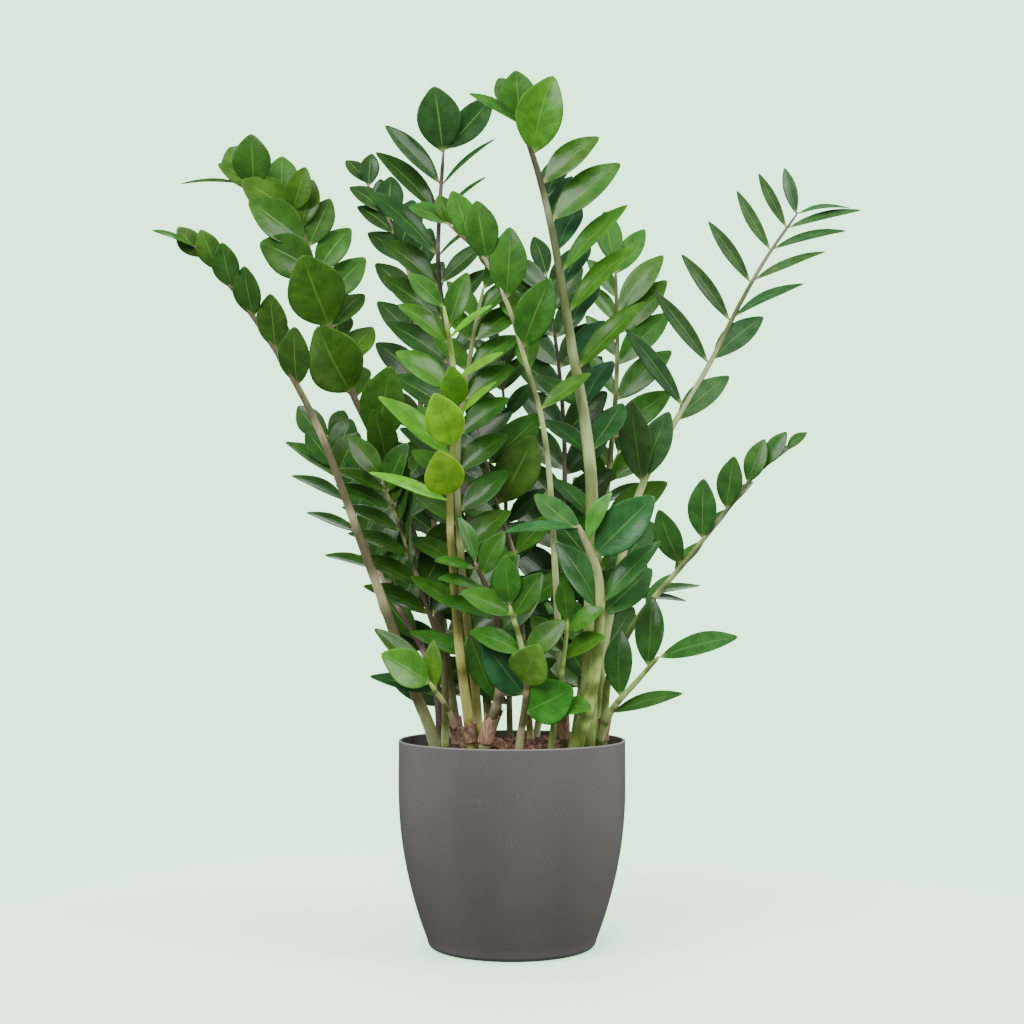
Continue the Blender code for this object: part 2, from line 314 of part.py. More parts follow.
def material(name, colour, roughness):
    """A plain Principled material."""
    made = bpy.data.materials.new(name)
    made.use_nodes = True
    shader = made.node_tree.nodes["Principled BSDF"]
    shader.inputs["Base Color"].default_value = colour
    shader.inputs["Roughness"].default_value = roughness
    shader.inputs["Metallic"].default_value = 0.0
    return made


def add_object(name, mesh, look=None):
    """Link a mesh as a finished piece, with its material."""
    piece = bpy.data.objects.new(name, mesh)
    plant.objects.link(piece)
    if look:
        mesh.materials.clear()
        mesh.materials.append(look)
    return piece


def as_cutter(piece, group):
    """Move an object among the tools that shape the pieces."""
    for owner in list(piece.users_collection):
        owner.objects.unlink(piece)
    group.objects.link(piece)
    piece.hide_render = True
    piece.display_type = "WIRE"
    return piece


def cutter_group(name):
    """A named group of shaping tools."""
    group = bpy.data.collections.new(name)
    cutters.children.link(group)
    return group


def combine(piece, operation, group):
    """Boolean a piece with every object of a group."""
    step = piece.modifiers.new(operation.lower(), "BOOLEAN")
    step.operation = operation
    step.operand_type = "COLLECTION"
    step.collection = group
    step.solver = "EXACT"


def turned(name, profile, look):
    """A piece turned about the upright axis, from (radius, height) points."""
    mesh = bpy.data.meshes.new(name)
    points = [(radius, 0, height) for radius, height in profile]
    edges = [(i, i + 1) for i in range(len(points) - 1)]
    mesh.from_pydata(points, edges, [])
    piece = add_object(name, mesh, look)
    spin = piece.modifiers.new("turn", "SCREW")
    spin.steps = TURN_STEPS
    spin.render_steps = TURN_STEPS
    spin.use_merge_vertices = True
    spin.merge_threshold = 0.00005
    spin.use_smooth_shade = True
    return piece


def tube(name, points, radii, sides_step, capped=True):
    """A tapering tube along points, as a welded mesh object."""
    curve = bpy.data.curves.new(name, "CURVE")
    curve.dimensions = "3D"
    curve.bevel_depth = 1.0
    curve.bevel_resolution = sides_step
    curve.use_fill_caps = capped
    line = curve.splines.new("POLY")
    line.points.add(len(points) - 1)
    for spot, place, radius in zip(line.points, points, radii):
        spot.co = (*place, 1)
        spot.radius = radius
    source = bpy.data.objects.new(name, curve)
    plant.objects.link(source)
    bpy.context.view_layer.update()
    ready = source.evaluated_get(bpy.context.evaluated_depsgraph_get())
    mesh = bpy.data.meshes.new_from_object(ready)
    bpy.data.objects.remove(source)
    welded = bmesh.new()
    welded.from_mesh(mesh)
    bmesh.ops.remove_doubles(welded, verts=welded.verts, dist=0.00002)
    bmesh.ops.recalc_face_normals(welded, faces=welded.faces)
    welded.to_mesh(mesh)
    welded.free()
    mesh.name = name
    return add_object(name, mesh)


# ---------------------------------------------------------------- pots and soil

def pot_radius(height):
    """Outside radius of the cover pot: upright at the top, drawn in toward the foot."""
    drawn_in = max(0.0, 1 - height / POT_STRAIGHT_FROM) ** 2
    return POT_RADIUS - (POT_RADIUS - POT_FOOT_RADIUS) * drawn_in


def make_cover_pot():
    """A thin moulded pot with a flat underside, a rounded foot and a rounded rim."""
    foot_top = POT_FOOT_EDGE
    heights = np.linspace(foot_top, POT_STRAIGHT_FROM, 6)
    outer = [(pot_radius(z), z) for z in heights] + [(POT_RADIUS, POT_HEIGHT - 0.0008)]
    foot = []
    for step in range(3):
        turn = math.radians(90 - 30 * step)
        foot_centre = pot_radius(foot_top) - POT_FOOT_EDGE
        foot.append((foot_centre + POT_FOOT_EDGE * math.cos(turn), foot_top - POT_FOOT_EDGE * math.sin(turn)))
    rim = [(POT_RADIUS - 0.0006, POT_HEIGHT), (POT_RADIUS - POT_WALL + 0.0006, POT_HEIGHT),
           (POT_RADIUS - POT_WALL, POT_HEIGHT - 0.0008)]
    inside = [(pot_radius(z) - POT_WALL, max(z, POT_FLOOR)) for z in heights[::-1]]
    underside = [(0, 0)] + foot
    corner = POT_FOOT_RADIUS - POT_WALL - 0.001
    profile = underside + outer + rim + inside + [(corner, POT_FLOOR), (0, POT_FLOOR)]
    return turned("cover_pot", profile[::-1], material("pot_grey", POT_GREY, 0.55))


def grower_radius(height):
    """Outside radius of the grower pot."""
    share = (height - POT_FLOOR) / (GROWER_TOP - POT_FLOOR)
    return GROWER_FOOT_RADIUS + (GROWER_RADIUS - GROWER_FOOT_RADIUS) * share


def make_grower_pot():
    """The thin black pot the plant was raised in, with drain holes in its floor."""
    low = POT_FLOOR + GAP
    profile = [
        (0, low), (GROWER_FOOT_RADIUS, low), (grower_radius(GROWER_TOP - 0.012), GROWER_TOP - 0.012),
        (GROWER_RADIUS + GROWER_LIP, GROWER_TOP - 0.012), (GROWER_RADIUS + GROWER_LIP, GROWER_TOP),
        (GROWER_RADIUS - GROWER_WALL, GROWER_TOP), (GROWER_FOOT_RADIUS - GROWER_WALL, low + GROWER_WALL),
        (0, low + GROWER_WALL)]
    piece = turned("grower_pot", profile[::-1], material("grower_black", GROWER_BLACK, 0.5))
    drills = cutter_group("drain_drills")
    for number in range(GROWER_HOLES):
        turn = 2 * math.pi * number / GROWER_HOLES
        drill = bmesh.new()
        bmesh.ops.create_cone(drill, cap_ends=True, segments=16, radius1=GROWER_HOLE_RADIUS,
                              radius2=GROWER_HOLE_RADIUS, depth=0.01)
        bmesh.ops.translate(drill, verts=drill.verts, vec=(0.045 * math.cos(turn), 0.045 * math.sin(turn), low))
        mesh = bpy.data.meshes.new("drain_drill")
        drill.to_mesh(mesh)
        drill.free()
        as_cutter(add_object(f"drain_drill_{number}", mesh), drills)
    combine(piece, "DIFFERENCE", drills)
    return piece


def soil_height(radius):
    """Height of the soil's surface at a distance from the axis."""
    edge = GROWER_RADIUS - GROWER_WALL - GAP
    return SOIL_TOP - (SOIL_TOP - SOIL_EDGE) * (radius / edge) ** 2


def make_soil(sockets):
    """The potting mix: it fills the grower pot and swells to a low dome."""
    low = POT_FLOOR + GROWER_WALL + 2 * GAP
    side = 0.0004
    edge = grower_radius(SOIL_EDGE) - GROWER_WALL - side
    radii = np.linspace(0, edge, 4)
    crown = [(radius, soil_height(radius)) for radius in radii]
    profile = crown + [(GROWER_FOOT_RADIUS - GROWER_WALL - side, low), (0, low)]
    piece = turned("soil", profile, material("soil_brown", SOIL_BROWN, 0.95))
    combine(piece, "DIFFERENCE", sockets)
    return piece


# ---------------------------------------------------------------- fronds

def smooth_route(points, count):
    """Points at even spacing on a smooth curve through a stalk's own points."""
    ends = [2 * points[0] - points[1], *points, 2 * points[-1] - points[-2]]
    fine = []
    for p0, p1, p2, p3 in zip(ends, ends[1:], ends[2:], ends[3:]):
        for step in range(12):
            t = step / 12
            bend = 2 * p0 - 5 * p1 + 4 * p2 - p3
            twist = 3 * p1 - p0 - 3 * p2 + p3
            fine.append(0.5 * (2 * p1 + (p2 - p0) * t + bend * t * t + twist * t ** 3))
    fine.append(points[-1])
    fine = np.array(fine)
    run = np.concatenate([[0], np.cumsum(np.linalg.norm(np.diff(fine, axis=0), axis=1))])
    even = np.linspace(0, run[-1], count)
    return np.stack([np.interp(even, run, fine[:, axis]) for axis in range(3)], axis=1), run[-1]


def unit(vector):
    """The vector at length one."""
    return vector / np.linalg.norm(vector)


class Stalk:
    """A frond's stalk: where it runs and how thick it is."""

    def __init__(self, base, tip, route):
        points = [np.array(place) * CM for place in route]
        lean = unit(points[1] - points[0])
        points[0] = points[0] + lean * (ROOT_DEPTH - points[0][2]) / lean[2]
        self.base = base * CM
        self.tip = tip * CM
        self.line, self.length = smooth_route(points, STALK_POINTS)
        self.slopes = np.gradient(self.line, axis=0)

    def spot(self, from_tip):
        """Place and direction at a distance from the tip."""
        place = (1 - from_tip / self.length) * (len(self.line) - 1)
        low = int(min(max(place, 0), len(self.line) - 2))
        here = self.line[low] + (self.line[low + 1] - self.line[low]) * (place - low)
        slope = self.slopes[low] + (self.slopes[low + 1] - self.slopes[low]) * (place - low)
        return here, unit(slope)

    def skin(self):
        """Points and faces of a rough skin round the stalk, for keeping leaflets clear of it."""
        points = []
        faces = []
        for number, (place, slope) in enumerate(zip(self.line, self.slopes)):
            across = unit(np.cross(slope, (0, 1, 0)))
            outward = unit(np.cross(slope, across))
            reach = self.radius(number / (len(self.line) - 1)) * SKIN_SLACK
            for corner in range(6):
                turn = math.radians(60 * corner)
                points.append(place + reach * (across * math.cos(turn) + outward * math.sin(turn)))
                if number:
                    here = 6 * number + corner
                    beside = 6 * number + (corner + 1) % 6
                    faces.append((here, beside, beside - 6, here - 6))
        return points, faces

    def joints(self):
        """Distances from the foot where the tube bends."""
        return [self.length * step / (len(self.line) - 1) for step in range(len(self.line))]

    def radius(self, share):
        """Thickness falls evenly, with a swollen foot."""
        return self.tip + (self.base - self.tip) * ((1 - share) ** 0.9 * 0.86 + 0.14 * (1 - share) ** 8)

    def tube(self, name):
        """The stalk as a mesh object."""
        points = [Vector(place) for place in self.line]
        radii = [self.radius(share) for share in np.linspace(0, 1, len(points))]
        return tube(name, points, radii, 1)

    def socket(self, name):
        """The lower part of the same tube, wider and reaching a little deeper."""
        points = [Vector(place) for place in self.line]
        points[0] = points[0] - (points[1] - points[0]).normalized() * 2 * GAP
        radii = [self.radius(share) * (1 + SOCKET_SLACK) + 2 * GAP for share in np.linspace(0, 1, len(points))]
        count = next(i for i, place in enumerate(points) if place.z > SOIL_TOP + 0.004) + 1
        return tube(name, points[:count], radii[:count], 1)


def leaf_width(share):
    """Half outline of a leaflet: full at its foot, widest in the middle, pointed."""
    return math.sin(math.pi * share) ** (0.72 if share < 0.5 else 0.85) if 0 < share < 1 else 0.0


ball = bmesh.new()
bmesh.ops.create_uvsphere(ball, u_segments=4, v_segments=LEAF_RINGS, radius=1)
BALL_POINTS = [vertex.co.copy() for vertex in ball.verts]
BALL_FACES = [[vertex.index for vertex in face.verts] for face in ball.faces]
ball.free()


def leaf_points(foot, along, up, length, width, swell=0.0):
    """A four-sided ball drawn out to a folded, drooping leaflet."""
    across = np.cross(along, up)
    points = []
    for point in BALL_POINTS:
        share = 0.5 - math.asin(max(-1.0, min(1.0, point.z))) / math.pi
        half = leaf_width(share) * width / 2
        ring = math.hypot(point.x, point.y) or 1.0
        side = point.x / ring if share not in (0, 1) else 0.0
        rise = point.y / ring if share not in (0, 1) else 0.0
        bend = LEAF_DROOP * share / 2
        middle = foot + length * share * (along * math.cos(bend) - up * math.sin(bend))
        thick = (LEAF_TOP if rise > 0 else LEAF_KEEL) + swell
        lift = abs(side) * half * LEAF_FOLD + rise * thick
        points.append(middle + across * side * (half + swell) + up * lift)
    return points


def leaf_frame(stalk, from_tip, angle, toward, face):
    """Foot, direction and upper side of one leaflet."""
    foot, ahead = stalk.spot(max(from_tip * CM, 0.0015))
    side = np.array(toward, dtype=float)
    side = unit(side - side.dot(ahead) * ahead)
    along = ahead * math.cos(math.radians(angle)) + side * math.sin(math.radians(angle))
    up = np.array(face, dtype=float)
    up = unit(up - up.dot(along) * along)
    return foot, ahead, along, up


def turned_about(vector, axis, angle):
    """A vector turned about an axis."""
    cosine = math.cos(angle)
    return vector * cosine + np.cross(axis, vector) * math.sin(angle) + axis * axis.dot(vector) * (1 - cosine)


# A leaflet that would run into another grows round it: these turns in degrees, about the
# stalk and then in the leaflet's own plane, are tried in order until it is clear.
SWINGS = [(0, 0)]
for reach in (8, 16, 24, 34, 46, 60):
    SWINGS += [(reach, 0), (-reach, 0), (0, -reach * 0.6), (0, reach * 0.6),
               (reach, -reach * 0.5), (-reach, -reach * 0.5)]
CLEARANCE = 0.0007


class Crowd:
    """Everything grown so far, to keep new leaflets clear of it."""

    def __init__(self):
        self.members = []

    def add(self, owner, points, faces):
        points = np.array(points)
        middle = points.mean(axis=0)
        reach = np.linalg.norm(points - middle, axis=1).max()
        tree = BVHTree.FromPolygons([Vector(p) for p in points], faces)
        self.members.append((owner, middle, reach, tree))

    def hits(self, owner, points, faces):
        points = np.array(points)
        middle = points.mean(axis=0)
        reach = np.linalg.norm(points - middle, axis=1).max()
        tree = None
        for other, centre, span, other_tree in self.members:
            if other == owner or np.linalg.norm(centre - middle) > span + reach:
                continue
            if tree is None:
                tree = BVHTree.FromPolygons([Vector(p) for p in points], faces)
            if tree.overlap(other_tree):
                return True
        return False


def place_leaf(crowd, owner, frame, length, width):
    """Points of the leaflet at the first swing that is clear of the rest."""
    foot, ahead, along, up = frame
    outward = np.cross(ahead, along)
    outward = unit(outward)
    for shrink in (1.0, 0.8, 0.6):
        for about_stalk, in_plane in SWINGS:
            direction = turned_about(along, outward, math.radians(in_plane))
            direction = turned_about(direction, ahead, math.radians(about_stalk))
            upper = turned_about(up, ahead, math.radians(about_stalk))
            upper = unit(upper - upper.dot(direction) * direction)
            start = foot + direction * length * 0.1
            test = leaf_points(start, direction, upper, length * shrink * 0.9, width * shrink, CLEARANCE)
            if not crowd.hits(owner + "_stalk", test, BALL_FACES):
                points = leaf_points(foot, direction, upper, length * shrink, width * shrink)
                crowd.add(owner + "_leaf", test, BALL_FACES)
                return points
    return None


def row_leaves(row):
    """Distance from the tip, length, width, angle and directions of each leaflet of a row."""
    first, last, count, long_first, long_last, broad, angle_first, angle_last, toward, face = row
    for number in range(count):
        share = number / (count - 1) if count > 1 else 0.0
        from_tip = last + (first - last) * (1 - share) ** LEAF_CROWDING
        length = (long_first + (long_last - long_first) * share) * CM
        angle = angle_first + (angle_last - angle_first) * share
        yield from_tip, length, length * broad, angle, toward, face


def make_fronds():
    """All stalks first, then the leaflets, each frond joined to one solid."""
    looks = {
        "dark": material("leaf_dark", GREEN_DARK, 0.35),
        "mature": material("leaf_green", GREEN, 0.35),
        "young": material("leaf_young", GREEN_YOUNG, 0.3)}
    crowd = Crowd()
    stalks = {}
    for name, (base, tip, tone, route, rows) in FRONDS.items():
        stalks[name] = Stalk(base, tip, route)
        piece = stalks[name].tube(name)
        piece.data.materials.append(looks[tone])
        crowd.add(name + "_stalk", *stalks[name].skin())
    lost = 0
    for name, (base, tip, tone, route, rows) in FRONDS.items():
        leaflets = cutter_group(name + "_leaflets")
        for row in rows:
            for from_tip, length, width, angle, toward, face in row_leaves(row):
                frame = leaf_frame(stalks[name], from_tip, angle, toward, face)
                points = place_leaf(crowd, name, frame, length, width)
                if points is None:
                    lost += 1
                    continue
                mesh = bpy.data.meshes.new(name + "_leaflet")
                mesh.from_pydata(points, [], BALL_FACES)
                shape = bmesh.new()
                shape.from_mesh(mesh)
                bmesh.ops.recalc_face_normals(shape, faces=shape.faces)
                shape.to_mesh(mesh)
                shape.free()
                mesh.materials.append(looks[tone])
                as_cutter(add_object(name + "_leaflet", mesh), leaflets)
        combine(bpy.data.objects[name], "UNION", leaflets)
    print("leaflets left out:", lost)
    return stalks


# ---------------------------------------------------------------- roots and sheaths

def rhizome_mesh(name, centre, half_sizes, turn, spread=0.0):
    """A potato-shaped tuber."""
    lump = bmesh.new()
    bmesh.ops.create_uvsphere(lump, u_segments=10, v_segments=6, radius=1)
    for vertex in lump.verts:
        swell = 1 + 0.05 * math.sin(5 * vertex.co.x + 2) * math.cos(4 * vertex.co.y)
        vertex.co = Vector([part * (half * CM * swell + spread) for part, half in zip(vertex.co, half_sizes)])
    bmesh.ops.rotate(lump, verts=lump.verts, matrix=Matrix.Rotation(math.radians(turn), 3, "Z"))
    bmesh.ops.translate(lump, verts=lump.verts, vec=Vector(centre) * CM)
    mesh = bpy.data.meshes.new(name)
    lump.to_mesh(mesh)
    lump.free()
    return mesh


def make_rhizomes(stalk_sockets, soil_sockets):
    """The tubers that the stalks rise from, and the hollows they fill in the soil."""
    look = material("rhizome_tan", RHIZOME_TAN, 0.8)
    for name, (centre, half_sizes, turn) in RHIZOMES.items():
        piece = add_object(name, rhizome_mesh(name, centre, half_sizes, turn), look)
        combine(piece, "DIFFERENCE", stalk_sockets)
        hollow = add_object(name + "_hollow", rhizome_mesh(name, centre, half_sizes, turn, 2 * GAP))
        as_cutter(hollow, soil_sockets)


def make_sockets(stalks, stalk_sockets, soil_sockets):
    """Slightly wider copies of the stalks' lower ends, that cut their sockets."""
    for name, stalk in stalks.items():
        socket = stalk.socket(name + "_socket")
        as_cutter(socket, stalk_sockets)
        soil_sockets.objects.link(socket)


def make_sheaths(stalks):
    """Dry papery sleeves, open at both ends, that stand round the stalks' feet."""
    look = material("sheath_brown", SHEATH_BROWN, 0.9)
    for name, (frond, length) in SHEATHS.items():
        stalk = stalks[frond]
        start = 0.0
        while stalk.spot(stalk.length - start)[0][2] < SOIL_TOP + SHEATH_LIFT:
            start += 0.001
        runs = [start] + [run for run in stalk.joints() if start < run < start + length * CM] + [start + length * CM]
        points = [Vector(stalk.spot(stalk.length - run)[0]) for run in runs]
        radii = [stalk.radius(run / stalk.length) * (1 + SOCKET_SLACK) + SHEATH_AIR for run in runs]
        sleeve = tube(name, points, radii, 2, capped=False)
        sleeve.data.materials.append(look)
        wall = sleeve.modifiers.new("wall", "SOLIDIFY")
        wall.thickness = SHEATH_WALL
        wall.offset = 1


cover_pot = make_cover_pot()
grower_pot = make_grower_pot()
stalks = make_fronds()
stalk_sockets = cutter_group("stalk_sockets")
soil_sockets = cutter_group("soil_sockets")
make_sockets(stalks, stalk_sockets, soil_sockets)
make_rhizomes(stalk_sockets, soil_sockets)
make_soil(soil_sockets)
make_sheaths(stalks)
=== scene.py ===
"""The looks of a potted ZZ plant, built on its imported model.

Metres, +Z up, front toward -Y. The pot, the soil and every frond are made here at the places
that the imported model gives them, with fine meshes and procedural finishes.
"""

import math
import random

import bmesh
import bpy
import numpy as np
from mathutils import Matrix, Vector, noise
from mathutils.bvhtree import BVHTree


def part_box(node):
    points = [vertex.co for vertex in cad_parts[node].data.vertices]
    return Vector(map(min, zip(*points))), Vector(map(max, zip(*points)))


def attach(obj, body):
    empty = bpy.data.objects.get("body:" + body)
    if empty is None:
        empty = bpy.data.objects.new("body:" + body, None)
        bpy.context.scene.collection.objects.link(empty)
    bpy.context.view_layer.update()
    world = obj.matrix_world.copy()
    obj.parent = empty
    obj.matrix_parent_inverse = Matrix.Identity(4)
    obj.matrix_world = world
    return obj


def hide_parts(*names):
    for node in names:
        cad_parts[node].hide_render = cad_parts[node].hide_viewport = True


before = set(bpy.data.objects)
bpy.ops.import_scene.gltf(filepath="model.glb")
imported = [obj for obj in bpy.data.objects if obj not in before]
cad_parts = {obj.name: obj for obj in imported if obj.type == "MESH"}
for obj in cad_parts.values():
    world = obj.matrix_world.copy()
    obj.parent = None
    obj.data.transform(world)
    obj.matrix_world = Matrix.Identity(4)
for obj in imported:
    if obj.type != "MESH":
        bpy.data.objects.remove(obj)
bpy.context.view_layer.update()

# ---------------------------------------------------------------- cover pot
# An injection-moulded pot of warm dark grey plastic with a fine matte grain. Its wall stands
# upright at the top and draws in toward a small rounded foot; a painted highlight lightens the thin rim.

POT_WALL = 0.0025
POT_FLOOR = 0.003
POT_FOOT_RADIUS = 0.0755
POT_FOOT_EDGE = 0.006
POT_STRAIGHT_FROM = 0.145
POT_RIM_EDGE = 0.0009
ROUND_STEPS = 144

pot_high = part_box("cover_pot")[1]
POT_RADIUS = pot_high[0]
POT_HEIGHT = pot_high[2]


class Reading:
    """A socket of a finish, so that sums on it can be written as sums."""

    def __init__(self, finish, socket):
        self.finish = finish
        self.socket = socket

    def sum(self, operation, first, second=None):
        values = {0: first} if second is None else {0: first, 1: second}
        return self.finish.node("ShaderNodeMath", {"operation": operation}, values)

    def __add__(self, other):
        return self.sum("ADD", self, other)

    def __radd__(self, other):
        return self.sum("ADD", other, self)

    def __sub__(self, other):
        return self.sum("SUBTRACT", self, other)

    def __rsub__(self, other):
        return self.sum("SUBTRACT", other, self)

    def __mul__(self, other):
        return self.sum("MULTIPLY", self, other)

    def __rmul__(self, other):
        return self.sum("MULTIPLY", other, self)

    def __pow__(self, other):
        return self.sum("POWER", self, other)

    def __neg__(self):
        return self.sum("MULTIPLY", self, -1)

    def size(self):
        return self.sum("ABSOLUTE", self)

    def wave(self):
        return self.sum("SINE", self)

    def between(self, low, high):
        """0 below the first value, 1 above the second, smooth between them."""
        settings = {"interpolation_type": "SMOOTHSTEP"}
        values = {"Value": self, "From Min": low, "From Max": high, "To Min": 0.0, "To Max": 1.0}
        return self.finish.node("ShaderNodeMapRange", settings, values)


class Finish:
    """A Principled material whose other nodes all come from one method."""

    def __init__(self, name, **constants):
        self.material = bpy.data.materials.new(name)
        self.material.use_nodes = True
        self.tree = self.material.node_tree
        self.shader = self.tree.nodes["Principled BSDF"]
        for socket, value in constants.items():
            self.shader.inputs[socket.replace("_", " ")].default_value = value

    def node(self, kind, settings=None, values=None, output=0):
        """A node of a type, its settings first, then the values or links of its sockets."""
        made = self.tree.nodes.new(kind)
        for name, value in (settings or {}).items():
            setattr(made, name, value)
        for socket, value in (values or {}).items():
            if isinstance(value, Reading):
                self.tree.links.new(value.socket, made.inputs[socket])
            else:
                made.inputs[socket].default_value = value
        return Reading(self, made.outputs[output])

    def place(self):
        """Object coordinates."""
        return self.node("ShaderNodeTexCoord", output="Object")

    def height(self):
        """Height above the surface that the pot stands on."""
        return self.node("ShaderNodeSeparateXYZ", values={0: self.place()}, output="Z")

    def stretched(self, vector, scale):
        """A vector scaled along its axes."""
        return self.node("ShaderNodeVectorMath", {"operation": "MULTIPLY"}, {0: vector, 1: scale})

    def noise(self, vector, scale, detail=2.0, roughness=0.5):
        values = {"Vector": vector, "Scale": scale, "Detail": detail, "Roughness": roughness}
        return self.node("ShaderNodeTexNoise", values=values)

    def mix(self, share, first, second, blend="MIX"):
        """One colour laid over another by a share of 0 to 1."""
        settings = {"data_type": "RGBA", "blend_type": blend, "clamp_result": False}
        pair = [value if isinstance(value, Reading) else (*value, 1) for value in (first, second)]
        return self.node("ShaderNodeMix", settings, {0: share, 6: pair[0], 7: pair[1]}, output=2)

    def bump(self, height, distance, strength=1.0):
        values = {"Height": height, "Distance": distance, "Strength": strength}
        return self.node("ShaderNodeBump", values=values)

    def set(self, **sockets):
        """Feed the shader's sockets."""
        for socket, value in sockets.items():
            self.tree.links.new(value.socket, self.shader.inputs[socket.replace("_", " ")])
        return self.material


def add_piece(name, shape, material, replaced, smooth=True):
    """Link a finished piece, tie it to the model and hide the imported parts that it stands for."""
    mesh = bpy.data.meshes.new(name)
    shape.to_mesh(mesh)
    shape.free()
    mesh.materials.append(material)
    if smooth:
        mesh.shade_smooth()
    piece = bpy.data.objects.new(name, mesh)
    bpy.context.scene.collection.objects.link(piece)
    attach(piece, "root")
    if replaced:
        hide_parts(*replaced)
    return piece


def subdivide(piece, levels):
    """Smooth a piece's surface between the points of its mesh."""
    smoothing = piece.modifiers.new("smooth", "SUBSURF")
    smoothing.levels = levels
    smoothing.render_levels = levels


def turned_piece(profile, steps=ROUND_STEPS):
    """A solid of revolution, from (radius, height) points that begin and end on the axis."""
    shape = bmesh.new()
    points = [shape.verts.new((radius, 0, height)) for radius, height in profile]
    edges = [shape.edges.new(pair) for pair in zip(points, points[1:])]
    bmesh.ops.spin(shape, geom=points + edges, cent=(0, 0, 0), axis=(0, 0, 1), dvec=(0, 0, 0),
                   angle=2 * math.pi, steps=steps, use_merge=True)
    bmesh.ops.remove_doubles(shape, verts=shape.verts, dist=0.000005)
    bmesh.ops.recalc_face_normals(shape, faces=shape.faces)
    return shape


def arc(centre, radius, start, end, steps):
    """Points on an arc, with angles in degrees from the outward axis."""
    turns = [math.radians(start + (end - start) * step / steps) for step in range(steps + 1)]
    return [(centre[0] + radius * math.cos(turn), centre[1] + radius * math.sin(turn)) for turn in turns]


def pot_radius(height):
    """Outside radius of the pot: upright at the top, drawn in toward the foot."""
    drawn_in = max(0.0, 1 - height / POT_STRAIGHT_FROM) ** 2
    return POT_RADIUS - (POT_RADIUS - POT_FOOT_RADIUS) * drawn_in


heights = [POT_FOOT_EDGE + (POT_STRAIGHT_FROM - POT_FOOT_EDGE) * step / 20 for step in range(21)]
foot_centre = (pot_radius(POT_FOOT_EDGE) - POT_FOOT_EDGE, POT_FOOT_EDGE)
rim_middle = POT_RADIUS - POT_RIM_EDGE
rim_inside = POT_RADIUS - POT_WALL + POT_RIM_EDGE
pot_profile = (
    [(0, 0)]
    + arc(foot_centre, POT_FOOT_EDGE, -90, 0, 6)
    + [(pot_radius(z), z) for z in heights[1:]]
    + arc((rim_middle, POT_HEIGHT - POT_RIM_EDGE), POT_RIM_EDGE, 0, 90, 4)
    + arc((rim_inside, POT_HEIGHT - POT_RIM_EDGE), POT_RIM_EDGE, 90, 180, 4)
    + [(pot_radius(z) - POT_WALL, max(z, POT_FLOOR)) for z in reversed(heights)]
    + [(POT_FOOT_RADIUS - POT_WALL - 0.001, POT_FLOOR), (0, POT_FLOOR)])

pot_finish = Finish("moulded_pot_grey", Roughness=0.6, Specular_IOR_Level=0.28)
grain = pot_finish.noise(pot_finish.place(), 1400.0, 2.0)
cloud = pot_finish.noise(pot_finish.stretched(pot_finish.place(), (9.0, 9.0, 2.2)), 1.0, 3.0)
speck = pot_finish.noise(pot_finish.place(), 520.0, 1.0).between(0.70, 0.76)
smudge = pot_finish.noise(pot_finish.place(), 34.0, 4.0, 0.6).between(0.52, 0.74)
pot_colour = pot_finish.mix(cloud.between(0.35, 0.65), (0.080, 0.075, 0.074), (0.093, 0.087, 0.086))
pot_colour = pot_finish.mix(speck * 0.30, pot_colour, (0.205, 0.192, 0.185))
pot_colour = pot_finish.mix(smudge * 0.08, pot_colour, (0.160, 0.150, 0.145))
# A painted highlight: the top edge of the rim is painted lighter, as if it caught the light.
rim_painted_highlight = pot_finish.height().between(POT_HEIGHT - 0.0016, POT_HEIGHT - 0.0003)
pot_colour = pot_finish.mix(rim_painted_highlight * 0.55, pot_colour, (0.270, 0.255, 0.250))
pot_finish.set(
    Base_Color=pot_colour,
    Roughness=0.54 + 0.12 * cloud + 0.08 * smudge,
    Normal=pot_finish.bump(grain, 0.00012, 0.55))
add_piece("cover_pot_moulded", turned_piece(pot_profile), pot_finish.material, ["cover_pot"])

# ---------------------------------------------------------------- grower pot
# The thin black nursery pot that the plant was raised in. It stands inside the cover pot with
# its rolled rim a little below it, and its floor has round drain holes.

GROWER_WALL = 0.0012
GROWER_LIP = 0.0025
GROWER_LIP_HEIGHT = 0.012
GROWER_FOOT_RADIUS = 0.068
GROWER_HOLES = 6
GROWER_HOLE_RADIUS = 0.006
GROWER_HOLE_CIRCLE = 0.045

grower_low, grower_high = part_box("grower_pot")
GROWER_RADIUS = grower_high[0] - GROWER_LIP
GROWER_TOP = grower_high[2]
GROWER_FLOOR = grower_low[2]

grower_profile = (
    [(0, GROWER_FLOOR), (GROWER_FOOT_RADIUS - 0.001, GROWER_FLOOR)]
    + [(GROWER_FOOT_RADIUS, GROWER_FLOOR + 0.001)]
    + [(GROWER_RADIUS - 0.0017, GROWER_TOP - GROWER_LIP_HEIGHT)]
    + [(GROWER_RADIUS + GROWER_LIP, GROWER_TOP - GROWER_LIP_HEIGHT)]
    + arc((GROWER_RADIUS + GROWER_LIP - 0.001, GROWER_TOP - 0.001), 0.001, 0, 90, 3)
    + arc((GROWER_RADIUS - GROWER_WALL + 0.0006, GROWER_TOP - 0.0006), 0.0006, 90, 180, 2)
    + [(GROWER_FOOT_RADIUS - GROWER_WALL, GROWER_FLOOR + GROWER_WALL), (0, GROWER_FLOOR + GROWER_WALL)])
grower_finish = Finish("nursery_pot_black", Roughness=0.42)
scuff = grower_finish.noise(grower_finish.place(), 120.0, 4.0, 0.6)
grower_finish.set(
    Base_Color=grower_finish.mix(scuff.between(0.5, 0.8), (0.012, 0.012, 0.013), (0.040, 0.036, 0.033)),
    Roughness=0.35 + 0.25 * scuff)
grower_pot = add_piece("grower_pot_thin", turned_piece(grower_profile, 96), grower_finish.material,
                       ["grower_pot"])

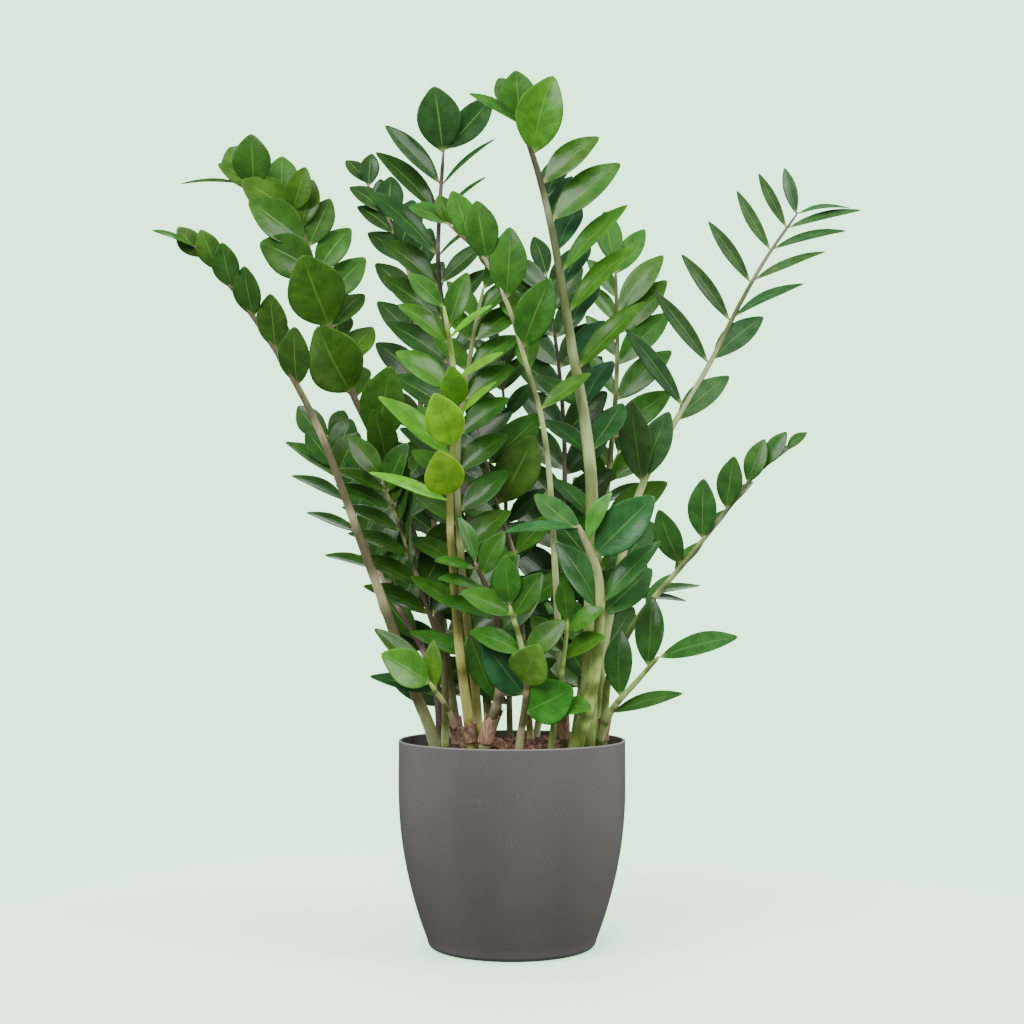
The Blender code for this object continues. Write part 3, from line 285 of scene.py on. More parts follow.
drill_shape = bmesh.new()
for number in range(GROWER_HOLES):
    turn = 2 * math.pi * number / GROWER_HOLES
    spot = Matrix.Translation((GROWER_HOLE_CIRCLE * math.cos(turn), GROWER_HOLE_CIRCLE * math.sin(turn),
                               GROWER_FLOOR))
    bmesh.ops.create_cone(drill_shape, cap_ends=True, segments=24, radius1=GROWER_HOLE_RADIUS,
                          radius2=GROWER_HOLE_RADIUS, depth=0.01, matrix=spot)
drill_mesh = bpy.data.meshes.new("drain_drills")
drill_shape.to_mesh(drill_mesh)
drill_shape.free()
drills = bpy.data.objects.new("drain_drills", drill_mesh)
bpy.context.scene.collection.objects.link(drills)
drilling = grower_pot.modifiers.new("drain_holes", "BOOLEAN")
drilling.object = drills
drilled = grower_pot.evaluated_get(bpy.context.evaluated_depsgraph_get())
drilled_mesh = bpy.data.meshes.new_from_object(drilled)
grower_pot.modifiers.clear()
grower_pot.data = drilled_mesh
bpy.data.objects.remove(drills)

# ---------------------------------------------------------------- potting mix
# Coarse, reddish potting mix of shredded bark and coir. It fills the nursery pot to a low dome,
# and loose chips of bark lie on it. The dome is turned and made uneven, then strewn with chips.

SOIL_TOP = 0.1885
SOIL_EDGE = 0.1735
SOIL_RINGS = 34
SOIL_FIT = 0.0003
CRUMBLE_DEPTH = 0.0013
CLOD_DEPTH = 0.0010

soil_low, soil_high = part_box("soil")


def soil_height(radius):
    """Height of the dome at a distance from the axis."""
    edge = GROWER_RADIUS - GROWER_WALL - SOIL_FIT
    return SOIL_TOP - (SOIL_TOP - SOIL_EDGE) * (radius / edge) ** 2


soil_edge = soil_high[0] - 0.0004
reaches = [soil_edge * step / SOIL_RINGS for step in range(SOIL_RINGS + 1)]
crown = [(reach, soil_height(reach)) for reach in reaches]
soil_foot = [(GROWER_FOOT_RADIUS - 0.003, soil_low[2] + 0.0002), (0, soil_low[2] + 0.0002)]
soil_shape = turned_piece(crown + soil_foot, 120)
for vertex in soil_shape.verts:
    reach = math.hypot(vertex.co.x, vertex.co.y)
    if vertex.co.z > SOIL_EDGE - 0.002 and reach < soil_edge * 0.985:
        crumble = noise.fractal(vertex.co * 190, 0.8, 2.2, 4)
        clods = noise.noise(vertex.co * 60)
        calm = 1 - (reach / soil_edge) ** 8
        vertex.co.z += calm * (CRUMBLE_DEPTH * crumble + CLOD_DEPTH * clods - CLOD_DEPTH)

soil_finish = Finish("potting_mix", Roughness=0.95)
crumbs = soil_finish.noise(soil_finish.place(), 900.0, 4.0, 0.7)
fibre = soil_finish.noise(soil_finish.stretched(soil_finish.place(), (1.0, 0.35, 1.0)), 420.0, 3.0, 0.6)
mix_colour = soil_finish.mix(crumbs.between(0.30, 0.72), (0.030, 0.016, 0.012), (0.175, 0.095, 0.070))
mix_colour = soil_finish.mix(fibre.between(0.60, 0.78) * 0.7, mix_colour, (0.300, 0.190, 0.125))
soil_finish.set(Base_Color=mix_colour, Normal=soil_finish.bump(crumbs + fibre * 0.6, 0.0009, 0.8))
add_piece("potting_mix", soil_shape, soil_finish.material, ["soil"])

CHIPS = 760
CHIP_SMALLEST = 0.0011
CHIP_GROWTH = 0.0034
CHIP_TILT = 0.35
CHIP_CHAMFER = 0.00025
CHIPS_REACH_UP = 0.0035
draw = random.Random(41)
chip_shape = bmesh.new()
chip_tint = chip_shape.verts.layers.float_color.new("chip_tint")
CHIP_TINTS = [(0.195, 0.098, 0.066), (0.135, 0.064, 0.045), (0.250, 0.142, 0.100), (0.070, 0.036, 0.028),
              (0.330, 0.225, 0.165), (0.170, 0.095, 0.075)]
for number in range(CHIPS):
    reach = soil_edge * math.sqrt(draw.random()) * 0.965
    turn = draw.uniform(0, 2 * math.pi)
    size = CHIP_SMALLEST + CHIP_GROWTH * draw.random() ** 2.2
    spot = (reach * math.cos(turn), reach * math.sin(turn), soil_height(reach) - 0.0004)
    lie = (Matrix.Translation(spot) @ Matrix.Rotation(draw.uniform(0, 2 * math.pi), 4, "Z")
           @ Matrix.Rotation(draw.gauss(0, CHIP_TILT), 4, "X")
           @ Matrix.Rotation(draw.gauss(0, CHIP_TILT), 4, "Y"))
    lie = lie @ Matrix.Diagonal((size * draw.uniform(0.9, 1.7), size * draw.uniform(0.5, 0.9),
                                 size * draw.uniform(0.25, 0.55), 1))
    chip = bmesh.ops.create_cube(chip_shape, size=2)["verts"]
    tint = draw.choice(CHIP_TINTS)
    for vertex in chip:
        vertex.co += Vector([draw.uniform(-0.38, 0.38) for axis in range(3)])
        vertex[chip_tint] = (*tint, 1)
    bmesh.ops.transform(chip_shape, matrix=lie, verts=chip)
    for vertex in chip:
        vertex.co.z = min(vertex.co.z, SOIL_TOP + CHIPS_REACH_UP)
bmesh.ops.bevel(chip_shape, geom=chip_shape.edges, offset=CHIP_CHAMFER, offset_type="OFFSET",
                segments=1, profile=0.5, affect="EDGES", material=-1, clamp_overlap=True)

chip_finish = Finish("bark_chips", Roughness=0.88)
own_tint = chip_finish.node("ShaderNodeAttribute", {"attribute_name": "chip_tint"}, output="Color")
chip_along = chip_finish.stretched(chip_finish.place(), (1.0, 1.0, 2.5))
chip_grain = chip_finish.noise(chip_along, 700.0, 4.0, 0.65)
chip_dust = chip_finish.noise(chip_finish.place(), 160.0, 2.0)
chip_colour = chip_finish.mix(chip_grain.between(0.32, 0.68), (0.38, 0.35, 0.34), (1.28, 1.22, 1.18))
chip_colour = chip_finish.mix(1.0, own_tint, chip_colour, "MULTIPLY")
chip_colour = chip_finish.mix(chip_dust.between(0.55, 0.75) * 0.25, chip_colour, (0.330, 0.230, 0.170))
chip_finish.set(Base_Color=chip_colour, Normal=chip_finish.bump(chip_grain, 0.0005, 0.8))
add_piece("bark_chips", chip_shape, chip_finish.material, [], smooth=False)

# ---------------------------------------------------------------- rhizomes
# The potato-like tubers that the stalks rise from. They lie wholly under the potting mix, so
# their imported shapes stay, with a tan, ringed skin.

tuber_finish = Finish("tuber_skin", Roughness=0.7)
tuber_rings = (tuber_finish.height() * 1400 + 6 * tuber_finish.noise(tuber_finish.place(), 60.0)).wave()
tuber_patch = tuber_finish.noise(tuber_finish.place(), 150.0, 4.0)
tuber_colour = tuber_finish.mix(tuber_patch.between(0.35, 0.7), (0.300, 0.180, 0.085),
                                (0.430, 0.300, 0.160))
tuber_colour = tuber_finish.mix(tuber_rings.between(0.55, 0.95) * 0.5, tuber_colour, (0.180, 0.100, 0.050))
tuber_finish.set(Base_Color=tuber_colour, Normal=tuber_finish.bump(tuber_rings + tuber_patch, 0.0006, 0.6))
for name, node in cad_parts.items():
    if name.startswith("rhizome"):
        node.data.materials.clear()
        node.data.materials.append(tuber_finish.material)

# ---------------------------------------------------------------- fronds
# Each frond is one pinnate leaf: a fleshy stalk, thick at its foot and tapering, with two ranks
# of thick glossy leaflets. A stalk is a small disc extruded along its route; a leaflet is a ball
# of eight sides drawn out to a folded blade. The leaflets find their places as in the model.

CM = 0.01                        # the plant's own lists are in centimetres
ROOT_DEPTH = 0.1515
STALK_POINTS = 12
LEAF_RINGS = 4
LEAF_TOP = 0.00045
LEAF_KEEL = 0.00065
LEAF_FOLD = 0.16
LEAF_DROOP = math.radians(12)
LEAF_CROWDING = 1.25
TIP_GAP = 0.0015                 # the last leaflets spring from just below the stalk's tip
SKIN_SLACK = 1.16
CLEARANCE = 0.0007


def lone(from_tip, length, broad, angle, toward, face):
    """A row of one leaflet."""
    return from_tip, from_tip, 1, length, length, broad, angle, angle, toward, face


# Each frond: stalk radii at base and tip, colour, the stalk's route, and rows of leaflets.
# A row: distance from the tip of its first and last leaflet, count, first and last length,
# width over length, first and last angle to the stalk in degrees, the side the row grows to,
# and the way its upper face looks.
FRONDS = {
    "frond_far_left": (0.65, 0.16, "mature", [
        (-6.6, -1.6, 16.6), (-7.2, -2, 19.2), (-8.9, -2.9, 23.4), (-11.1, -4.2, 30),
        (-13.5, -5.5, 36.8), (-15.8, -6.9, 43.4), (-17.9, -7.9, 48.6), (-20.3, -8.8, 52.9),
        (-23.1, -9.7, 57.2), (-25.5, -10.5, 60.3), (-27.8, -11, 62.8)], [
        (15.2, 2.9, 5, 5.7, 4, 0.6, 30, 26, (0.6, -0.7, 0.7), (-0.3, -1, 0.1)),
        (13.6, 3, 5, 4.8, 3.4, 0.5, 34, 30, (0.5, 0.9, 0.6), (-0.3, 0.1, 1)),
        lone(1.4, 3.8, 0.6, 12, (0.6, -0.7, 0.7), (-0.3, -1, 0.1)),
        lone(0, 4.4, 0.44, 38, (-0.6, -0.3, -0.6), (0, -0.9, 0.6))]),
    "frond_left_broad": (0.6, 0.17, "mature", [
        (-4.9, 1.7, 16.6), (-5.2, 1.5, 19.2), (-6.1, 1.1, 25.2), (-7.2, 0.6, 31.8), (-9.1, 0.3, 37.4),
        (-12.1, -0.3, 45.3), (-14.9, -0.7, 50.9), (-17, -1.1, 57.4), (-18.8, -1.6, 63.9),
        (-21.5, -1.9, 69.3), (-25, -2, 70.6)], [
        (14.6, 7.4, 4, 6.2, 5, 0.54, 56, 44, (0.9, 0.1, 0.4), (0.1, -1, 0.3)),
        lone(4.2, 5, 0.66, 44, (0.9, 0.2, 0.4), (0.1, -1, 0.3)),
        lone(5.6, 4.6, 0.6, 60, (0.9, -0.4, 0.4), (0.1, -1, 0.3)),
        lone(11.8, 6.4, 0.72, 50, (-0.9, -0.7, 0.1), (-0.2, -1, 0.3)),
        (9, 6.4, 2, 7, 6.4, 0.62, 30, 22, (-0.9, -0.7, 0.1), (-0.2, -1, 0.6)),
        lone(2.4, 5.4, 0.46, 10, (-0.9, -0.8, 0.1), (-0.1, -1, 0.6)),
        lone(1.3, 5.6, 0.72, 26, (0.2, 0.3, 1), (-0.1, -1, 0.2)),
        (23.4, 17, 2, 7.8, 7.8, 0.76, 32, 28, (-0.1, -1, 0.1), (0.1, -1, 0.4)),
        lone(28.6, 8.2, 0.58, 44, (0.8, -0.7, 0.1), (0.1, -1, 0.4)),
        lone(31, 6.4, 0.5, 34, (0.3, -1, 0.1), (0.1, -1, 0.4)),
        (24, 15, 3, 6.4, 6.2, 0.55, 50, 50, (0.2, 1, 0.1), (-0.1, -0.5, 0.9)),
        (26, 17, 3, 6.4, 6, 0.5, 56, 56, (0.8, 0.6, 0.2), (0.3, -0.3, 0.9)),
        (46, 33, 4, 6.4, 6.4, 0.5, 52, 50, (0.8, 0.5, 0.1), (0, -0.7, 0.7)),
        lone(1.2, 5.2, 0.76, 54, (0.5, -0.3, 1), (0, -1, 0.2)),
        lone(0, 6.2, 0.26, 18, (-0.2, -0.2, -0.8), (0, -0.4, 1))]),
    "frond_left_low": (0.5, 0.16, "dark", [
        (-6.2, 3, 16.6), (-6.8, 3, 19), (-7.1, 3.9, 23.2), (-8.3, 4.7, 26.6), (-10.3, 5.4, 29.9),
        (-14, 6.8, 36.7), (-17.1, 8.2, 43.6), (-18.2, 9.2, 47.8)], [
        (14.4, 4.4, 4, 5.6, 6.8, 0.42, 46, 32, (-1, -0.2, -0.1), (0, -0.5, 1)),
        lone(22.5, 6.6, 0.42, 12, (-1, -0.3, 0), (0, -1, 0.3)),
        (19, 1, 9, 6.6, 5.2, 0.58, 55, 36, (1, -0.3, 0.3), (0, -0.9, 0.5)),
        lone(3.2, 5, 0.56, 26, (-1, -0.3, 0), (0, -1, 0.2)),
        lone(0, 5, 0.56, 14, (-1, 0, 0.3), (0, -1, 0.2))]),
    "frond_back_left": (0.5, 0.15, "dark", [
        (-4.9, 4.6, 16.6), (-5.5, 5, 18.9), (-6.5, 6.5, 27.9), (-7.9, 8.6, 41.6), (-9.2, 10.3, 51.7),
        (-9.9, 11.9, 62.1), (-11.2, 12.5, 66.9), (-13, 13.4, 71.4), (-15, 14, 74.6)], [
        (38, 4, 9, 7.4, 4.8, 0.54, 48, 26, (-1, -0.3, -0.1), (0, -0.8, 0.6)),
        lone(0.6, 3.8, 0.6, 34, (1, -0.3, 0.1), (0, -0.9, 0.4)),
        (55, 42.5, 4, 6.6, 7.2, 0.5, 56, 50, (-1, -0.2, 0), (0, -0.8, 0.6)),
        (54, 41, 4, 6.6, 7.2, 0.5, 56, 50, (1, -0.2, 0), (0, -0.8, 0.6)),
        (36.5, 3, 10, 7.4, 5.2, 0.58, 50, 28, (1, -0.3, 0.1), (0, -0.9, 0.4)),
        lone(0, 3.8, 0.5, 8, (-1, 0, 0), (0, -0.8, 0.6))]),
    "frond_top_centre": (0.5, 0.17, "dark", [
        (-1.9, 2.8, 16.6), (-2.1, 3, 19), (-3.5, 2.8, 35.6), (-4.4, 2.6, 41.3), (-5.4, 2.4, 50.3),
        (-7, 1.2, 63.4), (-6.9, 0.2, 67.2), (-6.4, -1.2, 74)], [
        (10, 3.3, 3, 9.4, 7.8, 0.36, 42, 44, (-1, -0.2, 0), (0, -0.8, 0.8)),
        (10, 3.4, 3, 5, 7, 0.24, 48, 40, (1, -0.1, 0), (0, -0.5, 1)),
        (36, 13, 6, 7.6, 7.4, 0.48, 50, 46, (-1, -0.3, 0), (0, -0.8, 0.7)),
        (51, 41, 3, 6.2, 7, 0.5, 62, 52, (-1, -0.2, 0), (0, -0.8, 0.7)),
        (50, 40, 3, 6.2, 7, 0.5, 62, 52, (1, -0.2, 0), (0, -0.8, 0.7)),
        (35, 12.6, 6, 7.2, 6.2, 0.44, 52, 48, (1, -0.3, 0), (0, -0.8, 0.7)),
        lone(0.5, 6.6, 0.68, 12, (-1, -0.2, 0), (0, -1, 0.05)),
        lone(0, 7.2, 0.42, 38, (1, 0.1, 0.1), (0.2, -1, 0.1))]),
    "frond_centre_arching": (0.42, 0.16, "mature", [
        (5, -1.3, 16.6), (4.9, -1.5, 18.8), (4.4, -2.7, 26.3), (3.4, -5.3, 42.7), (2.6, -6.2, 48.5),
        (1, -7.1, 53.8), (-0.4, -7.8, 58.2), (-2.4, -8.5, 62.1), (-3.7, -8.8, 64.2),
        (-5.8, -9, 65.3)], [
        lone(13.6, 7.2, 0.54, 40, (1, -0.4, 0.3), (-0.2, -1, 0.05)),
        (9, 2.5, 3, 6.8, 4.9, 0.56, 26, 26, (1, -0.4, 0.3), (-0.2, -1, 0.05)),
        lone(19.2, 6, 0.36, 64, (1, 0.1, 0), (-0.1, -0.8, 0.7)),
        (15.6, 3.5, 4, 5.4, 4.2, 0.45, 48, 42, (0.3, 1, 0), (-0.2, -0.1, 1)),
        lone(0, 4, 0.52, 18, (-0.4, 0, -0.6), (0, -0.9, 0.5)),
        lone(0.5, 3.4, 0.6, 30, (0.3, 0.2, 1), (0, -1, 0.4))]),
    "frond_young_bright": (0.55, 0.2, "young", [
        (-3.7, -4.3, 16.8), (-3.8, -4.5, 19.7), (-4.7, -6.1, 27.3), (-5.1, -7.3, 32.7),
        (-5.5, -9, 40.6), (-4.9, -10.8, 49.3), (-5.6, -12.3, 55.6), (-5.9, -12.8, 57.2)], [
        lone(17.2, 8, 0.32, 66, (-1, -0.3, 0.1), (0, -0.7, 1)),
        lone(16.8, 5.2, 0.74, 34, (-0.3, -1, 0.2), (0, -1, 0.2)),
        lone(12.4, 5.8, 0.64, 34, (-0.6, -1, 0.2), (0, -1, 0.1)),
        lone(13.4, 8.8, 0.38, 48, (-1, 0, 0), (0.2, -0.7, 0.8)),
        lone(9, 4.4, 0.6, 30, (-0.1, -1, 0), (0.1, -1, 0.2)),
        lone(9.8, 5.2, 0.26, 45, (1, -0.4, 0), (0, -0.7, 0.8)),
        (6.6, 2.8, 2, 5.4, 5.2, 0.28, 57, 58, (1, -0.4, 0), (0, -0.7, 0.8)),
        (7.4, 3.4, 2, 6.6, 6, 0.5, 52, 40, (-1, -0.4, 0), (0.2, -0.8, 0.6)),
        lone(2, 5.4, 0.44, 28, (1, 0.3, 0), (0, -1, 0.3)),
        lone(0, 4.4, 0.46, 34, (-1, -0.3, 0.5), (0.1, -1, 0.2))]),
    "frond_young_second": (0.5, 0.18, "mature", [
        (-2.6, -2.8, 16.8), (-3, -3, 19.4), (-3.3, -3.4, 23.4), (-4.3, -4.2, 31.8), (-4.9, -4.6, 40.7),
        (-4.8, -5, 47), (-3.6, -5.4, 55), (-2.6, -5.8, 60)], [
        (36, 3, 11, 6.4, 5.6, 0.5, 56, 40, (1, -0.1, 0.2), (0, -0.8, 0.6)),
        lone(31, 7.2, 0.36, 158, (1, -0.8, 0), (0, -1, 0.1)),
        (34, 3, 10, 6.6, 5.4, 0.5, 55, 45, (-1, 0.5, 0), (0, -0.5, 1)),
        lone(0, 5.4, 0.4, 8, (1, 0, 0), (0, -1, 0.2))]),
    "frond_tallest": (0.95, 0.22, "mature", [
        (6.5, -3.4, 16.6), (6.8, -3.6, 18.9), (7.1, -3.7, 27.3), (7.3, -4, 37.3), (7, -4.2, 45.5),
        (5.5, -4.5, 54.6), (4, -5, 63.8), (2.6, -5.5, 69.7), (1.5, -6, 73.7), (0.4, -6.4, 76.3)], [
        (24.4, 15.4, 3, 9.2, 9, 0.34, 50, 52, (1, -0.2, 0.1), (-0.3, -0.7, 0.7)),
        (10.6, 7.2, 2, 8.5, 7, 0.46, 62, 64, (1, -0.3, 0.1), (-0.3, -0.9, 0.4)),
        lone(4.5, 7.6, 0.64, 34, (1, -0.6, 0.3), (-0.2, -1, 0.05)),
        (32, 8.6, 8, 7.4, 6.2, 0.46, 46, 44, (0.9, 0.9, 0.1), (-0.2, -0.6, 0.7)),
        (38, 28, 3, 7, 7, 0.4, 48, 48, (-0.8, 0.8, 0.1), (0.2, -0.6, 0.7)),
        (53, 42, 4, 6.6, 7, 0.46, 52, 48, (-0.7, 0.8, 0.1), (0.2, -0.7, 0.7)),
        lone(1, 4.6, 0.74, 14, (1, -0.5, 0.2), (-0.1, -1, 0.2)),
        lone(1.6, 6, 0.34, 34, (-1, 0.1, 0), (0, -0.7, 1)),
        lone(0, 4.1, 0.6, 20, (-0.5, 0.8, 0.3), (-0.2, -1, 0.3))]),
    "frond_front_hooked": (0.85, 0.28, "mature", [
        (5.5, -5.5, 16.8), (5.8, -5.7, 19.1), (6.9, -6.8, 22.9), (7.5, -8.3, 27.4), (7.7, -9.8, 31.8),
        (7.4, -10.7, 34.5), (5.7, -12, 38.3)], [
        lone(3.2, 8, 0.52, 58, (1, -0.3, 0.2), (-0.3, -1, 0.2)),
        lone(7.6, 8, 0.34, 38, (1, -0.1, 0.2), (-0.2, -0.8, 0.6)),
        lone(8.8, 6.8, 0.5, 50, (1, 0.5, 0.1), (-0.2, -0.9, 0.4)),
        lone(1.7, 5.2, 0.34, 46, (1, -0.3, 0.4), (-0.2, -0.9, 0.5)),
        lone(8.2, 7.4, 0.46, 30, (-1, 0.2, 0), (-0.2, -0.6, 0.8)),
        lone(0.2, 7.2, 0.3, 60, (-1, -0.4, -0.3), (0, -0.6, 1)),
        lone(0.8, 5.6, 0.46, 30, (-1, 0.2, 0.5), (0, -0.9, 0.7))]),
    "frond_back_centre": (0.45, 0.15, "dark", [
        (4.2, 4.4, 16.6), (4.5, 4.4, 18.9), (5.2, 8.4, 43.5), (4.8, 10.1, 53.7), (3.5, 12, 64.6)], [
        (38, 2, 11, 7.4, 5.6, 0.55, 50, 40, (1, -0.3, 0.1), (-0.1, -0.9, 0.5)),
        (37, 2, 11, 7.4, 5.6, 0.55, 52, 40, (-1, -0.3, 0), (0.1, -0.9, 0.5)),
        lone(42, 6.4, 0.5, 54, (1, -0.3, 0.1), (-0.1, -0.9, 0.5)),
        lone(41, 6.4, 0.5, 54, (-1, -0.3, 0), (0.1, -0.9, 0.5)),
        lone(0, 5, 0.45, 8, (-1, 0, 0), (0, -0.9, 0.5))]),
    "frond_inner_thin": (0.35, 0.12, "dark", [
        (-0.2, 2.1, 16.6), (-0.2, 2, 19.1), (-0.6, 3.2, 41.3), (-0.7, 3.7, 49.8), (-1.3, 4, 55.8)], [
        (34, 2, 10, 6, 4.4, 0.48, 54, 38, (-1, -0.3, 0), (0, -0.7, 0.8)),
        (33, 2, 10, 6, 4.4, 0.48, 54, 38, (1, -0.4, 0), (0, -0.7, 0.8)),
        lone(0, 3.6, 0.34, 10, (-1, 0, 0), (0, -0.8, 0.6))]),
    "frond_inner_tan": (0.4, 0.13, "mature", [
        (2, -0.1, 16.6), (1.7, 0, 19.3), (0.7, -1.3, 31.8), (0.1, -1.8, 36.4), (-1.4, -2.3, 40.6),
        (-2.3, -2.7, 44.2), (-3.1, -3, 47.4)], [
        lone(7.2, 7.6, 0.58, 44, (1, -0.2, 0.2), (0, -1, 0.1)),
        lone(3.3, 7.2, 0.46, 60, (1, -0.2, 0.1), (0, -1, 0.2)),
        (25, 3, 7, 6.2, 5.4, 0.5, 54, 45, (-1, -0.4, 0), (0, -0.8, 0.6)),
        (17, 12, 2, 6, 5.5, 0.46, 55, 55, (1, 0.2, 0), (0, -0.7, 0.7)),
        lone(0, 5.6, 0.5, 12, (1, 0.2, 0), (0, -0.9, 0.5))]),
    "frond_back_right": (0.5, 0.17, "mature", [
        (5.6, 3.2, 16.6), (6, 3, 19), (8.5, 6.2, 36.7), (10, 8.4, 49), (10.5, 9.7, 56.7),
        (10.4, 11, 65.4)], [
        (31.5, 5, 8, 8, 7.7, 0.42, 50, 40, (1, -0.3, 0.1), (-0.1, -0.9, 0.4)),
        (33, 3.5, 8, 6.2, 5.2, 0.42, 46, 34, (-1, -0.2, 0.1), (0.1, -0.8, 0.6)),
        (43, 39, 2, 6.2, 6.2, 0.44, 52, 50, (-1, -0.2, 0.1), (0.1, -0.8, 0.6)),
        lone(1, 6, 0.42, 32, (1, -0.2, 0.1), (-0.1, -1, 0.3)),
        lone(0, 6.4, 0.46, 8, (-1, 0, 0), (0, -1, 0.3))]),
    "frond_far_right": (0.62, 0.13, "dark", [
        (7.4, 1.1, 16.6), (7.8, 1, 18.7), (8.7, 1.5, 28), (12.2, 3, 42.3), (15.4, 4.2, 48.3),
        (19, 5.2, 54.3), (22.1, 5.8, 60.4), (25.2, 6.2, 65.7), (28.1, 6.6, 69.8)], [
        (12.5, 2, 4, 8.2, 7.8, 0.22, 30, 40, (1, -0.2, -0.4), (-0.3, -0.7, 0.8)),
        (24.4, 17.3, 2, 7.2, 7, 0.42, 20, 20, (1, -0.5, -0.4), (-0.3, -1, 0.4)),
        (22.8, 2, 6, 10, 6.4, 0.2, 66, 60, (-1, -0.1, 0.5), (-0.2, -0.9, 0.5)),
        lone(31, 7.2, 0.46, 18, (-0.2, -0.8, 0), (-0.2, -1, 0.2)),
        lone(31.5, 8.4, 0.4, 38, (-0.8, -0.6, 0.3), (-0.2, -1, 0.4)),
        (48, 40, 3, 6.6, 7, 0.42, 34, 28, (0.5, 0.6, -0.2), (-0.3, -0.9, 0.4)),
        lone(0, 5.6, 0.28, 42, (1, -0.1, -0.4), (0, -0.6, 1)),
        lone(0.3, 5.2, 0.3, 46, (-1, 0, 0.5), (0, -0.9, 0.4))]),
    "frond_right_low": (0.45, 0.14, "mature", [
        (7.8, -0.8, 16.6), (8.4, -1, 18.7), (8.9, -2.6, 24.9), (11.6, -4, 30.4), (15.1, -5.1, 34.6),
        (19.5, -6.6, 40.2), (22.6, -7.6, 44), (24.5, -8, 45.2)], [
        lone(14.2, 5.8, 0.46, 62, (-0.6, -0.3, 1), (-0.4, -1, 0.1)),
        (11.2, 2.6, 4, 5.8, 3.8, 0.5, 40, 16, (-0.6, -0.3, 1), (-0.4, -1, 0.1)),
        (19.4, 2.2, 6, 5.2, 3.4, 0.4, 34, 26, (0.2, 0.9, 0.3), (-0.1, -0.3, 1)),
        lone(0, 2.6, 0.42, 10, (0.5, 0, 0.5), (0, -0.9, 0.5))]),
    "frond_right_thin": (0.35, 0.12, "dark", [
        (7, 3, 16.6), (7.2, 3.2, 19), (8.2, 4, 26), (9, 4.5, 29.9), (10.4, 4.8, 31.3),
        (11.6, 5, 32.2)], [
        (4.6, 0.8, 3, 6, 5.6, 0.28, 50, 42, (-0.3, 0, 1), (-0.5, -1, 0)),
        (4.4, 1, 3, 5, 4.8, 0.3, 44, 44, (0.1, 1, 0.1), (0, -0.2, 1)),
        lone(0.4, 6.2, 0.24, 34, (1, 0.3, -0.8), (0, -0.6, 1)),
        lone(0, 7.2, 0.26, 24, (1, 0, -0.6), (0, -0.6, 1))]),
    "frond_right_bottom": (0.5, 0.2, "mature", [
        (7.6, -2.4, 16.6), (8, -2.7, 18.9), (9, -4.6, 21.9), (11.2, -6, 24.6), (13, -7.2, 26.8)], [
        lone(0, 7.8, 0.38, 26, (1, -0.2, -0.6), (0, -0.8, 0.9)),
        (5.4, 1.5, 2, 6.6, 6.8, 0.44, 48, 46, (-0.2, 0.2, 1), (-0.5, -1, 0.1)),
        lone(7.2, 7.2, 0.34, 40, (1, 0.2, -0.6), (0, -0.7, 1))]),
    "frond_left_bottom": (0.4, 0.2, "young", [
        (-4.9, -4.9, 16.8), (-5, -5.2, 19.2), (-5.5, -7, 21.8), (-7.2, -9.2, 24.6)], [
        lone(0, 5.6, 0.66, 18, (-1, -0.4, 0.3), (0.1, -1, 0.4)),
        lone(0.8, 7.8, 0.34, 24, (-1, 0.7, 0.5), (0, -0.6, 0.9)),
        lone(1.4, 6.4, 0.36, 46, (-1, 0.5, -0.2), (0, -0.6, 0.8)),
        lone(1, 4.6, 0.4, 40, (0.4, 0.5, 1), (-0.4, -1, 0.2))]),
    "frond_front_short": (0.45, 0.2, "mature", [
        (0.6, -5.8, 16.8), (0.7, -6, 19.2), (1.2, -7.4, 23), (1.1, -8.8, 26.6), (-0.2, -10.4, 31.4)], [
        lone(8.8, 7.2, 0.52, 36, (-1, -0.2, 0.1), (0, -1, 0.3)),
        lone(10.4, 5.6, 0.8, 48, (1, -0.6, 0.2), (0, -1, 0.2)),
        lone(7.8, 5.2, 0.78, 24, (0.4, -1, 0.2), (0, -1, 0.5)),
        (5, 1.2, 2, 5.4, 5.2, 0.54, 52, 45, (1, -0.3, 0.1), (0, -0.9, 0.5)),
        (4.6, 1, 2, 5.4, 5.2, 0.52, 52, 45, (-1, -0.1, 0.1), (0, -0.8, 0.6)),
        lone(0, 4.8, 0.56, 10, (1, 0, 0.3), (0, -1, 0.3))]),
    "frond_front_small": (0.38, 0.16, "mature", [
        (3.4, -6.2, 16.8), (3.5, -6.4, 19), (4, -7.4, 23), (4.6, -8.6, 27), (4.9, -9.4, 30)], [
        lone(7.4, 5, 0.64, 56, (-0.6, -1, 0), (0, -1, 0.4)),
        lone(8, 3.8, 0.6, 70, (0.9, -0.7, 0), (0, -0.8, 0.6)),
        (3.4, 1, 2, 4.6, 4.2, 0.54, 48, 44, (1, -0.2, 0.2), (0, -0.8, 0.6)),
        lone(3, 4.6, 0.54, 48, (-1, 0.3, 0), (0, -0.8, 0.6)),
        lone(0, 4.2, 0.46, 12, (-0.4, 0, 1), (0, -1, 0.2))]),
    "frond_front_stub": (0.7, 0.18, "mature", [
        (-2.5, -5.2, 16.8), (-2.4, -5.4, 19.2), (-1.1, -6.3, 23.6), (-1.1, -6.9, 28.5),
        (-1.9, -7.3, 32), (-3.3, -8, 35.2)], [
        (5.6, 0.8, 3, 6.2, 4.8, 0.46, 54, 50, (-1, -0.3, 0), (0, -0.7, 0.8)),
        (6.8, 1.4, 3, 5.4, 4.8, 0.5, 50, 48, (1, -0.3, 0.1), (0, -0.8, 0.6)),
        lone(0, 4.6, 0.44, 10, (-1, 0, 0), (0, -0.7, 0.8))]),
    "frond_left_inner": (0.45, 0.14, "dark", [
